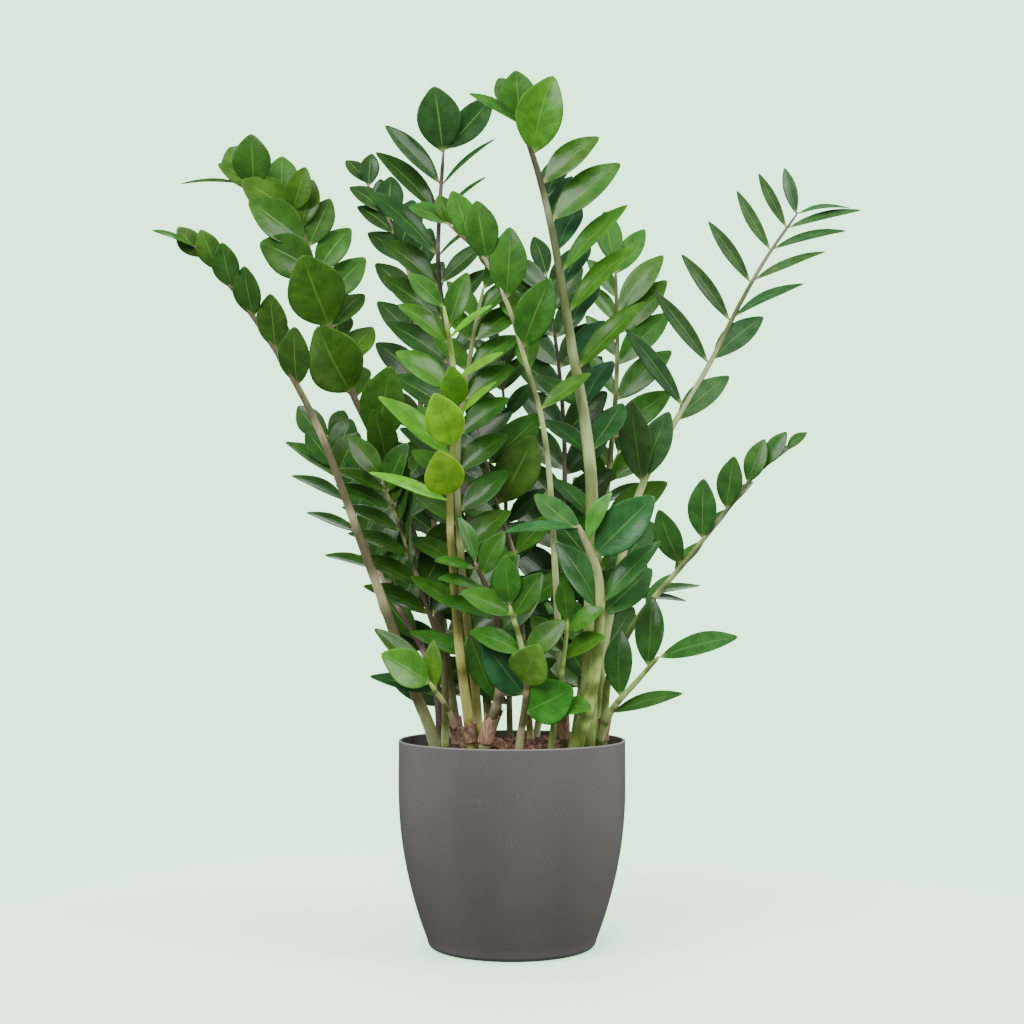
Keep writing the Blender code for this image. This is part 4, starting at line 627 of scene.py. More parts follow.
        (-6.4, 0.2, 16.6), (-6.2, 0, 19.3), (-6.4, -1, 26.2), (-8, -2.1, 31.8), (-9.8, -3.4, 37.3),
        (-11.8, -5, 42.8)], [
        (13.5, 1.4, 6, 7, 5.6, 0.46, 44, 42, (-1, -0.1, -0.1), (0, -0.7, 1)),
        lone(15.6, 5.2, 0.56, 116, (1, -0.4, 0.1), (0.1, -1, 0.2)),
        (13.6, 1.4, 7, 6.8, 5.6, 0.56, 50, 40, (1, -0.3, 0.3), (0, -0.8, 0.7)),
        lone(0, 5.4, 0.5, 14, (-1, 0, 0.2), (0, -0.8, 0.7))]),
    "frond_back_low_left": (0.42, 0.14, "dark", [
        (-3.2, 6.4, 16.6), (-3.4, 6.7, 18.8), (-4.4, 9, 27), (-5.4, 12, 36), (-6, 14.5, 44),
        (-6.6, 16.6, 50)], [
        (29.5, 2, 9, 6.4, 5, 0.5, 55, 45, (-1, 0.1, 0), (0, -0.5, 1)),
        (28.5, 2, 9, 6.4, 5, 0.5, 55, 45, (1, 0.1, 0), (0, -0.5, 1)),
        lone(0, 4.8, 0.42, 10, (0, 0.2, 1), (0, -0.6, 0.8))]),
    "frond_back_low_right": (0.42, 0.14, "dark", [
        (2.2, 6.8, 16.6), (2.4, 7.1, 18.8), (4, 9.6, 27), (6.6, 12.6, 35), (9, 15, 42),
        (11, 16.8, 47)], [
        (28, 2, 9, 6.4, 5, 0.5, 55, 45, (-1, 0.5, 0), (0, -0.5, 1)),
        (27, 2, 9, 6.4, 5, 0.5, 55, 45, (1, -0.5, 0), (0, -0.5, 1)),
        lone(0, 4.8, 0.42, 10, (0.3, 0.2, 1), (0, -0.6, 0.8))]),
}


def unit(vector):
    """The vector at length one."""
    return vector / np.linalg.norm(vector)


def sides_of(slope):
    """Two directions across a stalk, at right angles to each other."""
    across = unit(np.cross(slope, (0, 1, 0)))
    return across, unit(np.cross(slope, across))


def curve_through(p0, p1, p2, p3, t):
    """A point of the smooth curve between the middle two of four points."""
    bend = 2 * p0 - 5 * p1 + 4 * p2 - p3
    twist = 3 * p1 - p0 - 3 * p2 + p3
    return 0.5 * (2 * p1 + (p2 - p0) * t + bend * t * t + twist * t ** 3)


def smooth_route(points, count):
    """Points at even spacing on a smooth curve through a stalk's own points."""
    ends = [2 * points[0] - points[1], *points, 2 * points[-1] - points[-2]]
    spans = zip(ends, ends[1:], ends[2:], ends[3:])
    fine = [curve_through(*four, step / 12) for four in spans for step in range(12)]
    fine = np.array(fine + [points[-1]])
    run = np.concatenate([[0], np.cumsum(np.linalg.norm(np.diff(fine, axis=0), axis=1))])
    even = np.linspace(0, run[-1], count)
    return np.stack([np.interp(even, run, fine[:, axis]) for axis in range(3)], axis=1), run[-1]


class Stalk:
    """A frond's stalk: where it runs and how thick it is."""

    def __init__(self, base, tip, route):
        points = [np.array(place) * CM for place in route]
        lean = unit(points[1] - points[0])
        points[0] = points[0] + lean * (ROOT_DEPTH - points[0][2]) / lean[2]
        self.base = base * CM
        self.tip = tip * CM
        self.line, self.length = smooth_route(points, STALK_POINTS)
        self.slopes = np.gradient(self.line, axis=0)
        self.ends = [2 * self.line[0] - self.line[1], *self.line, 2 * self.line[-1] - self.line[-2]]

    def step_at(self, share):
        """The step of the line that a share of it falls in, and how far into that step."""
        place = share * (len(self.line) - 1)
        low = int(min(max(place, 0), len(self.line) - 2))
        return low, place - low

    def spot(self, from_tip):
        """Place and direction at a distance from the tip."""
        low, into = self.step_at(1 - from_tip / self.length)
        here = self.line[low] + (self.line[low + 1] - self.line[low]) * into
        slope = self.slopes[low] + (self.slopes[low + 1] - self.slopes[low]) * into
        return here, unit(slope)

    def curve(self, share):
        """Place on the smooth stalk, from 0 at its foot to 1 at its tip."""
        low, into = self.step_at(share)
        return curve_through(*self.ends[low:low + 4], into)

    def skin(self):
        """Points and faces of a rough skin round the stalk."""
        points = []
        faces = []
        for number, (place, slope) in enumerate(zip(self.line, self.slopes)):
            across, outward = sides_of(slope)
            reach = self.radius(number / (len(self.line) - 1)) * SKIN_SLACK
            for corner in range(6):
                turn = math.radians(60 * corner)
                points.append(place + reach * (across * math.cos(turn) + outward * math.sin(turn)))
                if number:
                    here = 6 * number + corner
                    beside = 6 * number + (corner + 1) % 6
                    faces.append((here, beside, beside - 6, here - 6))
        return points, faces

    def radius(self, share):
        """Thickness falls evenly, with a swollen foot."""
        return self.tip + (self.base - self.tip) * ((1 - share) ** 0.9 * 0.86 + 0.14 * (1 - share) ** 8)


def leaf_width(share):
    """Half outline of a leaflet: narrow at its foot, widest before the middle, pointed."""
    return math.sin(math.pi * share) ** (0.72 if share < 0.5 else 0.85) if 0 < share < 1 else 0.0


ball = bmesh.new()
bmesh.ops.create_uvsphere(ball, u_segments=4, v_segments=LEAF_RINGS, radius=1)
BALL_POINTS = [vertex.co.copy() for vertex in ball.verts]
BALL_FACES = [[vertex.index for vertex in face.verts] for face in ball.faces]
ball.free()


def leaf_points(foot, along, up, length, width, swell=0.0):
    """A four-sided ball drawn out to a folded, drooping leaflet, to test its place with."""
    across = np.cross(along, up)
    points = []
    for point in BALL_POINTS:
        share = 0.5 - math.asin(max(-1.0, min(1.0, point.z))) / math.pi
        half = leaf_width(share) * width / 2
        ring = math.hypot(point.x, point.y) or 1.0
        side = point.x / ring if share not in (0, 1) else 0.0
        rise = point.y / ring if share not in (0, 1) else 0.0
        bend = LEAF_DROOP * share / 2
        middle = foot + length * share * (along * math.cos(bend) - up * math.sin(bend))
        thick = (LEAF_TOP if rise > 0 else LEAF_KEEL) + swell
        lift = abs(side) * half * LEAF_FOLD + rise * thick
        points.append(middle + across * side * (half + swell) + up * lift)
    return points


def leaf_frame(stalk, from_tip, angle, toward, face):
    """Foot, direction and upper side of one leaflet."""
    foot, ahead = stalk.spot(max(from_tip * CM, TIP_GAP))
    side = np.array(toward, dtype=float)
    side = unit(side - side.dot(ahead) * ahead)
    along = ahead * math.cos(math.radians(angle)) + side * math.sin(math.radians(angle))
    up = np.array(face, dtype=float)
    up = unit(up - up.dot(along) * along)
    return foot, ahead, along, up


def turned_about(vector, axis, angle):
    """A vector turned about an axis."""
    cosine = math.cos(angle)
    kept = axis * axis.dot(vector) * (1 - cosine)
    return vector * cosine + np.cross(axis, vector) * math.sin(angle) + kept


# A leaflet that would run into another grows round it: these turns in degrees, about the
# stalk and then in the leaflet's own plane, are tried in order until it is clear.
SWINGS = [(0, 0)]
for reach in (8, 16, 24, 34, 46, 60):
    SWINGS += [(reach, 0), (-reach, 0), (0, -reach * 0.6), (0, reach * 0.6),
               (reach, -reach * 0.5), (-reach, -reach * 0.5)]


class Crowd:
    """Everything grown so far, to keep new leaflets clear of it."""

    def __init__(self):
        self.members = []

    def add(self, owner, points, faces):
        points = np.array(points)
        middle = points.mean(axis=0)
        reach = np.linalg.norm(points - middle, axis=1).max()
        tree = BVHTree.FromPolygons([Vector(p) for p in points], faces)
        self.members.append((owner, middle, reach, tree))

    def hits(self, owner, points, faces):
        points = np.array(points)
        middle = points.mean(axis=0)
        reach = np.linalg.norm(points - middle, axis=1).max()
        tree = None
        for other, centre, span, other_tree in self.members:
            if other == owner or np.linalg.norm(centre - middle) > span + reach:
                continue
            if tree is None:
                tree = BVHTree.FromPolygons([Vector(p) for p in points], faces)
            if tree.overlap(other_tree):
                return True
        return False


def place_leaf(crowd, owner, place, length, width):
    """Direction, upper side and size of the leaflet at the first swing that is clear."""
    foot, ahead, along, up = place
    outward = unit(np.cross(ahead, along))
    for shrink in (1.0, 0.8, 0.6):
        for about_stalk, in_plane in SWINGS:
            direction = turned_about(along, outward, math.radians(in_plane))
            direction = turned_about(direction, ahead, math.radians(about_stalk))
            upper = turned_about(up, ahead, math.radians(about_stalk))
            upper = unit(upper - upper.dot(direction) * direction)
            start = foot + direction * length * 0.1
            test = leaf_points(start, direction, upper, length * shrink * 0.9, width * shrink, CLEARANCE)
            if not crowd.hits(owner + "_stalk", test, BALL_FACES):
                crowd.add(owner + "_leaf", test, BALL_FACES)
                return direction, upper, length * shrink, width * shrink
    return None


def row_leaves(row):
    """Distance from the tip, length, width, angle and directions of each leaflet of a row."""
    first, last, count, long_first, long_last, broad, angle_first, angle_last, toward, face = row
    for number in range(count):
        share = number / (count - 1) if count > 1 else 0.0
        from_tip = last + (first - last) * (1 - share) ** LEAF_CROWDING
        length = (long_first + (long_last - long_first) * share) * CM
        angle = angle_first + (angle_last - angle_first) * share
        yield from_tip, length, length * broad, angle, toward, face


# Colours of each frond: the stalk at its foot, in its middle and at its tip, then its leaflets.
FRESH = (0.250, 0.370, 0.080)
LIME = (0.300, 0.460, 0.095)
OLIVE = (0.170, 0.210, 0.074)
PALE = (0.310, 0.400, 0.140)
STRAW = (0.340, 0.330, 0.080)
TAN = (0.280, 0.240, 0.130)
BROWN = (0.210, 0.150, 0.105)
DUSK = (0.090, 0.072, 0.066)
FROND_COLOURS = {
    "frond_far_left": (OLIVE, TAN, TAN, (0.038, 0.118, 0.013)),
    "frond_left_broad": (OLIVE, BROWN, OLIVE, (0.036, 0.118, 0.010)),
    "frond_left_low": (DUSK, BROWN, OLIVE, (0.025, 0.092, 0.011)),
    "frond_back_left": (OLIVE, TAN, BROWN, (0.014, 0.052, 0.009)),
    "frond_top_centre": (OLIVE, DUSK, DUSK, (0.020, 0.072, 0.012)),
    "frond_centre_arching": (OLIVE, PALE, TAN, (0.035, 0.130, 0.011)),
    "frond_young_bright": (STRAW, STRAW, LIME, (0.092, 0.320, 0.012)),
    "frond_young_second": (STRAW, OLIVE, OLIVE, (0.031, 0.118, 0.010)),
    "frond_tallest": (FRESH, PALE, DUSK, (0.041, 0.152, 0.011)),
    "frond_front_hooked": (LIME, LIME, TAN, (0.028, 0.120, 0.026)),
    "frond_back_centre": (OLIVE, DUSK, DUSK, (0.016, 0.062, 0.010)),
    "frond_inner_thin": (OLIVE, DUSK, DUSK, (0.018, 0.070, 0.010)),
    "frond_inner_tan": (STRAW, TAN, BROWN, (0.031, 0.115, 0.010)),
    "frond_back_right": (FRESH, OLIVE, OLIVE, (0.042, 0.160, 0.014)),
    "frond_far_right": (FRESH, PALE, DUSK, (0.034, 0.104, 0.030)),
    "frond_right_low": (FRESH, PALE, DUSK, (0.034, 0.122, 0.020)),
    "frond_right_thin": (FRESH, OLIVE, DUSK, (0.028, 0.095, 0.020)),
    "frond_right_bottom": (FRESH, PALE, LIME, (0.032, 0.125, 0.018)),
    "frond_left_bottom": (BROWN, BROWN, LIME, (0.076, 0.235, 0.016)),
    "frond_front_short": (OLIVE, TAN, LIME, (0.036, 0.140, 0.012)),
    "frond_front_small": (FRESH, LIME, LIME, (0.044, 0.165, 0.012)),
    "frond_front_stub": (OLIVE, BROWN, BROWN, (0.034, 0.125, 0.011)),
    "frond_left_inner": (FRESH, BROWN, OLIVE, (0.025, 0.096, 0.010)),
    "frond_back_low_left": (OLIVE, OLIVE, OLIVE, (0.020, 0.078, 0.010)),
    "frond_back_low_right": (OLIVE, OLIVE, OLIVE, (0.020, 0.078, 0.010)),
}

# Rows whose leaflets stand out in colour from the rest of their frond.
ROW_TINTS = {
    ("frond_young_bright", 0): (0.150, 0.470, 0.012),
    ("frond_young_bright", 1): (0.200, 0.520, 0.014),
    ("frond_young_bright", 2): (0.190, 0.560, 0.014),
    ("frond_young_bright", 7): (0.045, 0.165, 0.012),
    ("frond_young_bright", 8): (0.050, 0.150, 0.014),
    ("frond_young_bright", 9): (0.040, 0.170, 0.022),
    ("frond_front_short", 0): (0.022, 0.115, 0.030),
    ("frond_front_short", 1): (0.030, 0.190, 0.016),
    ("frond_front_short", 2): (0.085, 0.250, 0.030),
    ("frond_front_hooked", 3): (0.080, 0.290, 0.030),
    ("frond_left_bottom", 1): (0.030, 0.095, 0.014),
    ("frond_left_bottom", 2): (0.018, 0.080, 0.024),
    ("frond_tallest", 2): (0.050, 0.200, 0.012),
    ("frond_tallest", 3): (0.018, 0.080, 0.026),
    ("frond_tallest", 4): (0.020, 0.080, 0.014),
    ("frond_tallest", 5): (0.020, 0.080, 0.014),
    ("frond_tallest", 8): (0.028, 0.105, 0.014),
    ("frond_inner_tan", 0): (0.046, 0.130, 0.012),
}

BLADE_LEVELS = (0.0, 0.045, 0.13, 0.27, 0.43, 0.60, 0.77, 0.90, 1.0)
BLADE_SWELL = 1.07
PETIOLE_HALF = 0.0012
STALK_SLIM = 0.965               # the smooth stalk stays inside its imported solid
STALK_SIDES = 12
COLOUR_SPLIT = 0.55              # where along a stalk its middle colour lies


def blade_outline(share):
    """Half outline of the blade, with the short petiole left out."""
    t = (share - BLADE_LEVELS[1]) / (1 - BLADE_LEVELS[1])
    pinch = 1 - 0.28 * max(0.0, (t - 0.74) / 0.26)
    return BLADE_SWELL * leaf_width(t ** 0.97) * pinch if t > 0 else 0.0


def add_leaflet(shape, foot, along, up, length, width, tint, draw):
    """An eight-sided ball drawn out to a thick folded blade on a short petiole."""
    blade = shape.verts.layers.float_vector["blade"]
    leaf_tint = shape.verts.layers.float_color["leaf_tint"]
    fold = LEAF_FOLD * draw.uniform(0.9, 2.3)
    droop = LEAF_DROOP * draw.uniform(0.6, 1.5)
    twist = math.radians(draw.gauss(0, 5))
    wave = draw.uniform(0.02, 0.05)
    phase = draw.uniform(0, 2 * math.pi)
    lean = draw.gauss(0, 0.02)
    across = np.cross(along, up)
    tone = draw.uniform(0.82, 1.18)
    warmth = draw.uniform(0.9, 1.25)
    colour = (tint[0] * tone * warmth, tint[1] * tone, tint[2] * tone / warmth, draw.random())
    levels = len(BLADE_LEVELS) - 1
    for vertex in bmesh.ops.create_uvsphere(shape, u_segments=8, v_segments=levels, radius=1)["verts"]:
        level = round(levels * (0.5 - math.asin(max(-1.0, min(1.0, vertex.co.z))) / math.pi))
        share = BLADE_LEVELS[level]
        pole = level in (0, levels)
        ring = math.hypot(vertex.co.x, vertex.co.y) or 1.0
        side = 0.0 if pole else vertex.co.x / ring
        rise = 0.0 if pole else vertex.co.y / ring
        side = math.copysign(min(1.0, abs(side) * 1.02), side)
        half = blade_outline(share) * width / 2
        if not pole:
            half = max(half, PETIOLE_HALF)
        slim = min(1.0, half / (0.25 * width))
        thick = (LEAF_TOP if rise > 0 else LEAF_KEEL * (1.25 - 0.8 * share))
        thick = PETIOLE_HALF * 0.9 * (1 - slim) + thick * slim
        bend = droop * share / 2
        middle = foot + length * share * (along * math.cos(bend) - up * math.sin(bend))
        middle = middle + across * length * lean * math.sin(math.pi * share)
        arch = math.sin(math.pi * abs(side)) * half * 0.06
        ripple = wave * half * side * side * math.sin(9 * share + phase + (1.3 if side > 0 else 0))
        lift = abs(side) * half * fold * slim + (arch + ripple) * slim + rise * thick
        turn = twist * share
        wide = across * math.cos(turn) + up * math.sin(turn)
        tall = up * math.cos(turn) - across * math.sin(turn)
        vertex.co = Vector(middle + wide * side * half + tall * lift)
        vertex[blade] = (share, side, rise)
        vertex[leaf_tint] = colour


def stalk_shape(stalk, colours):
    """A small disc extruded along the stalk's route, thinner at each step."""
    shape = bmesh.new()
    tint = shape.verts.layers.float_color.new("stalk_tint")
    steps = 3 * (STALK_POINTS - 1)
    shares = [step / steps for step in range(steps + 1)]
    places = [stalk.curve(share) for share in shares]
    slopes = np.gradient(np.array(places), axis=0)

    def colour(share):
        low, middle, high = [np.array(part) for part in colours[:3]]
        if share < COLOUR_SPLIT:
            return (*(low + (middle - low) * (share / COLOUR_SPLIT)), 1)
        return (*(middle + (high - middle) * ((share - COLOUR_SPLIT) / (1 - COLOUR_SPLIT))), 1)

    def ring_frame(number, slim=1.0):
        turn = Vector((0, 0, 1)).rotation_difference(Vector(slopes[number])).to_matrix().to_4x4()
        size = stalk.radius(shares[number]) * STALK_SLIM * slim
        return Matrix.Translation(places[number]) @ turn @ Matrix.Diagonal((size, size, size, 1))

    made = bmesh.ops.create_circle(shape, cap_ends=True, segments=STALK_SIDES, radius=1,
                                   matrix=ring_frame(0))
    for vertex in made["verts"]:
        vertex[tint] = colour(0)
    cap = shape.faces[:]
    last = ring_frame(0)
    for number in range(1, steps + 1):
        grown = bmesh.ops.extrude_face_region(shape, geom=cap)["geom"]
        cap = [part for part in grown if isinstance(part, bmesh.types.BMFace)]
        tops = [part for part in grown if isinstance(part, bmesh.types.BMVert)]
        here = ring_frame(number, 1.0 if number < steps else 0.6)
        bmesh.ops.transform(shape, matrix=here @ last.inverted(), verts=tops)
        for vertex in tops:
            vertex[tint] = colour(shares[number])
        last = here
    bmesh.ops.recalc_face_normals(shape, faces=shape.faces)
    return shape


def leaf_finish(name, roughness):
    """Thick waxy leaf: pale midrib, faint curving side veins, soft mottling, a painted highlight along the
    margin, paler underside.
    """
    finish = Finish(name, Roughness=roughness, Coat_Roughness=0.12, Specular_IOR_Level=0.5)
    blade = finish.node("ShaderNodeAttribute", {"attribute_name": "blade"}, output="Vector")
    along = finish.node("ShaderNodeSeparateXYZ", values={0: blade}, output="X")
    side = finish.node("ShaderNodeSeparateXYZ", values={0: blade}, output="Y")
    rise = finish.node("ShaderNodeSeparateXYZ", values={0: blade}, output="Z")
    tint = finish.node("ShaderNodeAttribute", {"attribute_name": "leaf_tint"}, output="Color")
    spread = side.size()
    under = (-rise).between(-0.02, 0.10)
    midrib = (1 - spread.between(0.010, 0.055)) * (1 - along.between(0.62, 0.97))
    veins = ((along * 52.0) - (spread ** 0.7) * 12.0).wave()
    ridge = veins.between(0.55, 1.0) * spread.between(0.04, 0.25) * (1 - spread.between(0.75, 1.0))
    mottle = finish.noise(finish.place(), 85.0, 3.0)
    fine = finish.noise(finish.place(), 900.0, 2.0)
    dark = finish.mix(1.0, tint, (0.60, 0.66, 0.64), "MULTIPLY")
    colour = finish.mix(mottle.between(0.32, 0.68), dark, tint)
    lighter = finish.mix(1.0, tint, (1.6, 1.45, 1.3), "MULTIPLY")
    colour = finish.mix(ridge * 0.12, colour, lighter)
    colour = finish.mix(midrib * 0.55, colour, (0.120, 0.270, 0.040))
    # A painted highlight: the margin of the blade is painted lighter.
    colour = finish.mix(spread.between(0.93, 1.0) * 0.25, colour, lighter)
    foot = 1 - along.between(0.03, 0.12)
    colour = finish.mix(foot * 0.8, colour, (0.330, 0.400, 0.120))
    beneath = finish.mix(0.60, tint, (0.125, 0.250, 0.095))
    beneath = finish.mix(ridge * 0.25, beneath, (0.085, 0.170, 0.060))
    beneath = finish.mix(midrib * 0.6, beneath, (0.250, 0.360, 0.130))
    colour = finish.mix(under, colour, beneath)
    relief = ridge * -0.25 + midrib * 0.7 + mottle * 0.6 + fine * 0.05
    finish.set(
        Base_Color=colour,
        Roughness=roughness + 0.20 * under + 0.08 * mottle,
        Coat_Weight=0.28 - 0.26 * under,
        Normal=finish.bump(relief, 0.00045, 0.4))
    return finish.material


def stalk_finish():
    """Smooth fleshy skin with short dark flecks across it and a dusting of pale spots."""
    finish = Finish("stalk_skin", Roughness=0.42)
    tint = finish.node("ShaderNodeAttribute", {"attribute_name": "stalk_tint"}, output="Color")
    streak = finish.noise(finish.stretched(finish.place(), (260.0, 260.0, 60.0)), 1.0, 3.0)
    flecks = finish.noise(finish.stretched(finish.place(), (150.0, 150.0, 620.0)), 1.0, 2.0)
    spots = finish.noise(finish.place(), 420.0, 2.0)
    deep = finish.mix(1.0, tint, (0.78, 0.76, 0.80), "MULTIPLY")
    colour = finish.mix(streak.between(0.30, 0.70), deep, tint)
    colour = finish.mix(flecks.between(0.62, 0.74) * 0.22, colour, (0.060, 0.045, 0.030))
    colour = finish.mix(spots.between(0.64, 0.74) * 0.18, colour, (0.420, 0.400, 0.230))
    finish.set(
        Base_Color=colour,
        Roughness=0.36 + 0.22 * streak,
        Normal=finish.bump(streak + flecks * 0.2, 0.00025, 0.4))
    return finish.material


leaf_looks = {"young": leaf_finish("leaf_young", 0.30), "dark": leaf_finish("leaf_dark", 0.33),
              "mature": leaf_finish("leaf_green", 0.30)}
stalk_look = stalk_finish()
crowd = Crowd()
stalks = {}
for name, (base, tip, tone, route, rows) in FRONDS.items():
    stalks[name] = Stalk(base, tip, route)
    crowd.add(name + "_stalk", *stalks[name].skin())

draw = random.Random(7)
for name, (base, tip, tone, route, rows) in FRONDS.items():
    stalk = stalks[name]
    leaves = bmesh.new()
    leaves.verts.layers.float_vector.new("blade")
    leaves.verts.layers.float_color.new("leaf_tint")
    for number, row in enumerate(rows):
        leaf_colour = ROW_TINTS.get((name, number), FROND_COLOURS[name][3])
        for from_tip, length, width, angle, toward, face in row_leaves(row):
            place = leaf_frame(stalk, from_tip, angle, toward, face)
            placed = place_leaf(crowd, name, place, length, width)
            if placed is None:
                continue
            foot = stalk.curve(1 - max(from_tip * CM, TIP_GAP) / stalk.length)
            add_leaflet(leaves, foot, *placed, leaf_colour, draw)
    leaflets = add_piece(name + "_leaflets", leaves, leaf_looks[tone], [name])
    subdivide(leaflets, 1)
    add_piece(name + "_stalk", stalk_shape(stalk, FROND_COLOURS[name]), stalk_look, [name])

# ---------------------------------------------------------------- dry sheaths
# Brown papery bracts that wrapped each young shoot and stay round the foot of some stalks,
# torn and curling away at the top. Each is an open sleeve extruded ring by ring, given a wall.

# Each sheath: the frond whose stalk it wraps, its length in centimetres, and the way in
# radians that it opens to.
SHEATH_STEPS = 10
SHEATH_SIDES = 20
SHEATH_WALL = 0.00045
SHEATH_GAP = 0.0008
SHEATH_FLARE = 0.0016
SHEATHS = {
    "sheath_left": ("frond_left_broad", 3.2, 0.9),
    "sheath_front_left": ("frond_young_bright", 2.4, 2.2),
    "sheath_front": ("frond_front_stub", 4.6, 4.1),
    "sheath_centre": ("frond_centre_arching", 5.0, 5.6),
    "sheath_right": ("frond_right_low", 3.4, 3.0),
    "sheath_left_front": ("frond_left_bottom", 2.4, 1.6),
}

sheath_finish = Finish("dry_bract", Roughness=0.8)
strand = sheath_finish.noise(sheath_finish.stretched(sheath_finish.place(), (900.0, 900.0, 60.0)), 1.0, 3.0)
stain = sheath_finish.noise(sheath_finish.place(), 120.0, 4.0)
sheath_colour = sheath_finish.mix(strand.between(0.3, 0.7), (0.170, 0.095, 0.060), (0.420, 0.280, 0.180))
sheath_colour = sheath_finish.mix(stain.between(0.5, 0.75) * 0.6, sheath_colour, (0.070, 0.036, 0.026))
sheath_finish.set(Base_Color=sheath_colour, Normal=sheath_finish.bump(strand, 0.0005, 0.8))

for name, (frond, length, opening) in SHEATHS.items():
    stalk = stalks[frond]
    start = 0.0
    while stalk.spot(stalk.length - start)[0][2] < SOIL_TOP + 0.001:
        start += 0.001
    shape = bmesh.new()
    rim = bmesh.ops.create_circle(shape, cap_ends=False, segments=SHEATH_SIDES, radius=1)["verts"]
    edges = shape.edges[:]
    for step in range(SHEATH_STEPS + 1):
        if step:
            grown = bmesh.ops.extrude_edge_only(shape, edges=edges)["geom"]
            rim = [part for part in grown if isinstance(part, bmesh.types.BMVert)]
            edges = [part for part in grown if isinstance(part, bmesh.types.BMEdge)]
        share = step / SHEATH_STEPS
        for number, vertex in enumerate(rim):
            turn = 2 * math.pi * number / len(rim)
            away = max(0.0, math.cos(turn - opening))
            torn = 0.55 + 0.45 * noise.noise(Vector((3 * math.cos(turn), 3 * math.sin(turn), opening)))
            torn = max(0.25, min(1.0, torn + 0.25 * away))
            run = start + length * CM * share * torn
            place, slope = stalk.spot(stalk.length - run)
            across, outward = sides_of(slope)
            reach = stalk.radius(run / stalk.length) * 1.12 + SHEATH_GAP
            reach += SHEATH_FLARE * share ** 2 * (0.4 + away) + 0.0003 * math.sin(5 * turn + 9 * share)
            vertex.co = Vector(place + reach * (across * math.cos(turn) + outward * math.sin(turn)))
    bmesh.ops.recalc_face_normals(shape, faces=shape.faces)
    sheath = add_piece(name + "_papery", shape, sheath_finish.material, [name])
    wall = sheath.modifiers.new("wall", "SOLIDIFY")
    wall.thickness = SHEATH_WALL
    wall.offset = 1
    subdivide(sheath, 1)

# ---------------------------------------------------------------- stage, light and camera
# A pale floor that fades into an even pale background, soft light from large panels, and a
# camera in front of the plant at a little over the height of the soil.

BACKGROUND = (0.520, 1.000, 0.584)
BACKGROUND_STRENGTH = 3.41
ROOM_LIGHT = (0.95, 1.0, 0.95)
ROOM_STRENGTH = 0.42
REFLECTED_STRENGTH = 0.10

floor_shape = bmesh.new()
bmesh.ops.create_circle(floor_shape, cap_ends=True, segments=96, radius=4.0)
floor_finish = Finish("studio_floor", Base_Color=(0.55, 0.80, 0.60, 1), Roughness=1.0,
                      Specular_IOR_Level=0.0, Emission_Color=(0.47, 1.0, 0.53, 1),
                      Emission_Strength=1.25)
from_middle = floor_finish.node("ShaderNodeVectorMath", {"operation": "LENGTH"},
                                {0: floor_finish.place()}, "Value")
floor_finish.set(Alpha=1 - from_middle.between(0.22, 0.8))
floor_mesh = bpy.data.meshes.new("studio_floor")
floor_shape.to_mesh(floor_mesh)
floor_shape.free()
floor_mesh.materials.append(floor_finish.material)
floor = bpy.data.objects.new("studio_floor", floor_mesh)
bpy.context.scene.collection.objects.link(floor)
floor.visible_diffuse = False
floor.visible_glossy = False

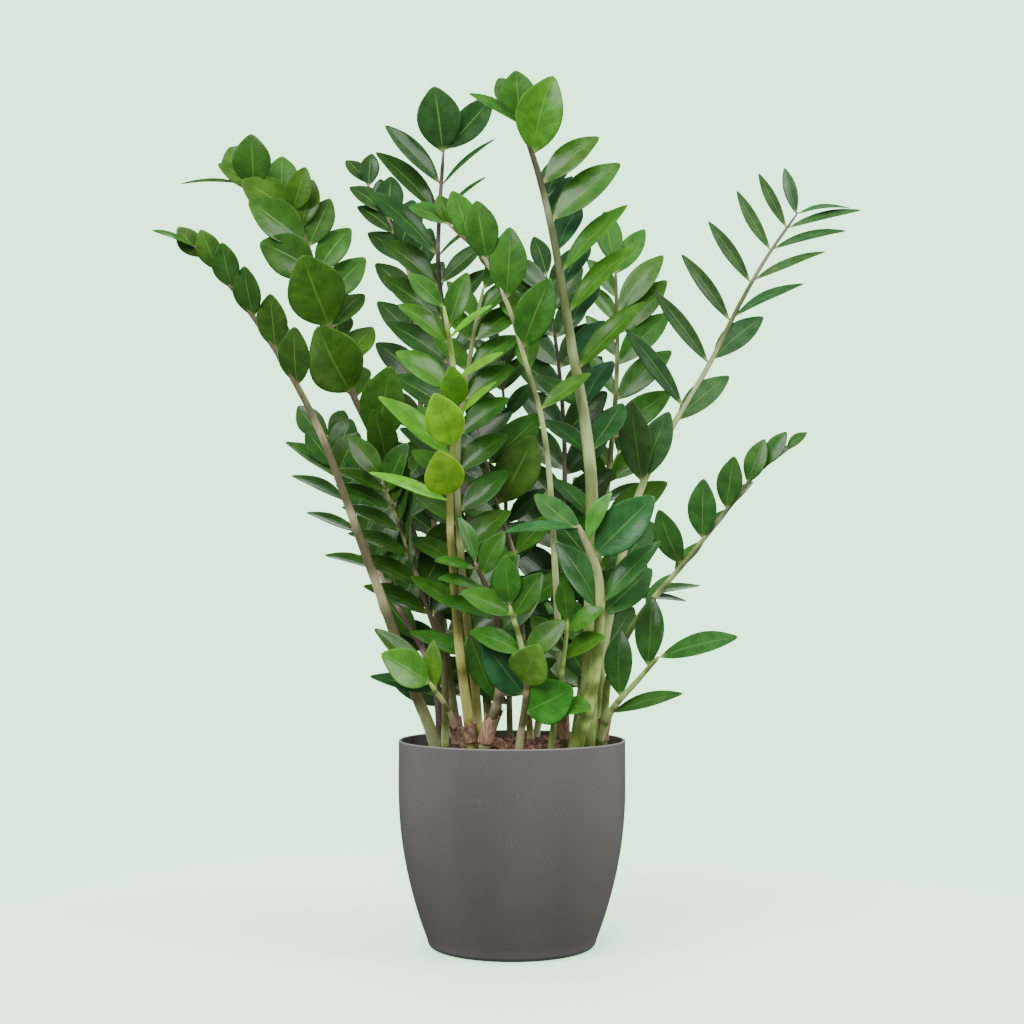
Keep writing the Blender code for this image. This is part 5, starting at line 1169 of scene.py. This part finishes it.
world = bpy.data.worlds.new("studio")
world.use_nodes = True
studio = world.node_tree
room = studio.nodes["Background"]
backdrop = studio.nodes.new("ShaderNodeBackground")
mirrored = studio.nodes.new("ShaderNodeBackground")
for light, colour, strength in ((room, ROOM_LIGHT, ROOM_STRENGTH),
                                (backdrop, BACKGROUND, BACKGROUND_STRENGTH),
                                (mirrored, ROOM_LIGHT, REFLECTED_STRENGTH)):
    light.inputs["Color"].default_value = (*colour, 1)
    light.inputs["Strength"].default_value = strength
seen = studio.nodes.new("ShaderNodeLightPath")
lighting = studio.nodes.new("ShaderNodeMixShader")
either = studio.nodes.new("ShaderNodeMixShader")
for mixer, ray, otherwise, when in ((lighting, "Is Glossy Ray", room, mirrored),
                                    (either, "Is Camera Ray", lighting, backdrop)):
    studio.links.new(seen.outputs[ray], mixer.inputs[0])
    studio.links.new(otherwise.outputs[0], mixer.inputs[1])
    studio.links.new(when.outputs[0], mixer.inputs[2])
studio.links.new(either.outputs[0], studio.nodes["World Output"].inputs[0])
bpy.context.scene.world = world

# Large soft lights that face the plant: place, width and height, power, and whether the gloss
# of the leaves shows them.
PANELS_FACE = Vector((0, 0, 0.4))
PANELS = {
    "key_panel": ((-0.8, -2.2, 2.2), (2.0, 2.0), 120, False),
    "side_panel": ((2.4, -0.9, 1.5), (1.6, 2.0), 40, False),
    "top_panel": ((0.0, 0.0, 2.6), (2.0, 2.0), 60, False),
    "back_panel": ((-0.3, 2.4, 1.6), (2.0, 1.6), 34, False),
    "left_strip": ((-1.9, -1.3, 1.9), (1.1, 1.8), 34, True),
    "right_strip": ((1.9, -0.9, 2.0), (1.1, 1.8), 28, True),
    "left_edge": ((-2.3, 0.9, 0.6), (0.8, 1.6), 22, True),
    "right_edge": ((2.3, 0.9, 0.6), (0.8, 1.6), 26, True),
    "rear_strip": ((0.2, 2.2, 1.8), (1.6, 0.7), 12, True),
}
for name, (place, size, power, glossy) in PANELS.items():
    lamp = bpy.data.lights.new(name, "AREA")
    lamp.shape = "RECTANGLE"
    lamp.size, lamp.size_y = size
    lamp.energy = power
    panel = bpy.data.objects.new(name, lamp)
    bpy.context.scene.collection.objects.link(panel)
    panel.visible_glossy = glossy
    panel.location = place
    panel.rotation_euler = (PANELS_FACE - Vector(place)).to_track_quat("-Z", "Y").to_euler()

LENS = 59.13
CAMERA_PLACE = (0, -1.57, 0.325)
CAMERA_TILT = math.radians(92.74)
lens = bpy.data.cameras.new("camera")
lens.lens = LENS
lens.sensor_width = 36
camera = bpy.data.objects.new("camera", lens)
bpy.context.scene.collection.objects.link(camera)
camera.location = CAMERA_PLACE
camera.rotation_euler = (CAMERA_TILT, 0, 0)
bpy.context.scene.camera = camera
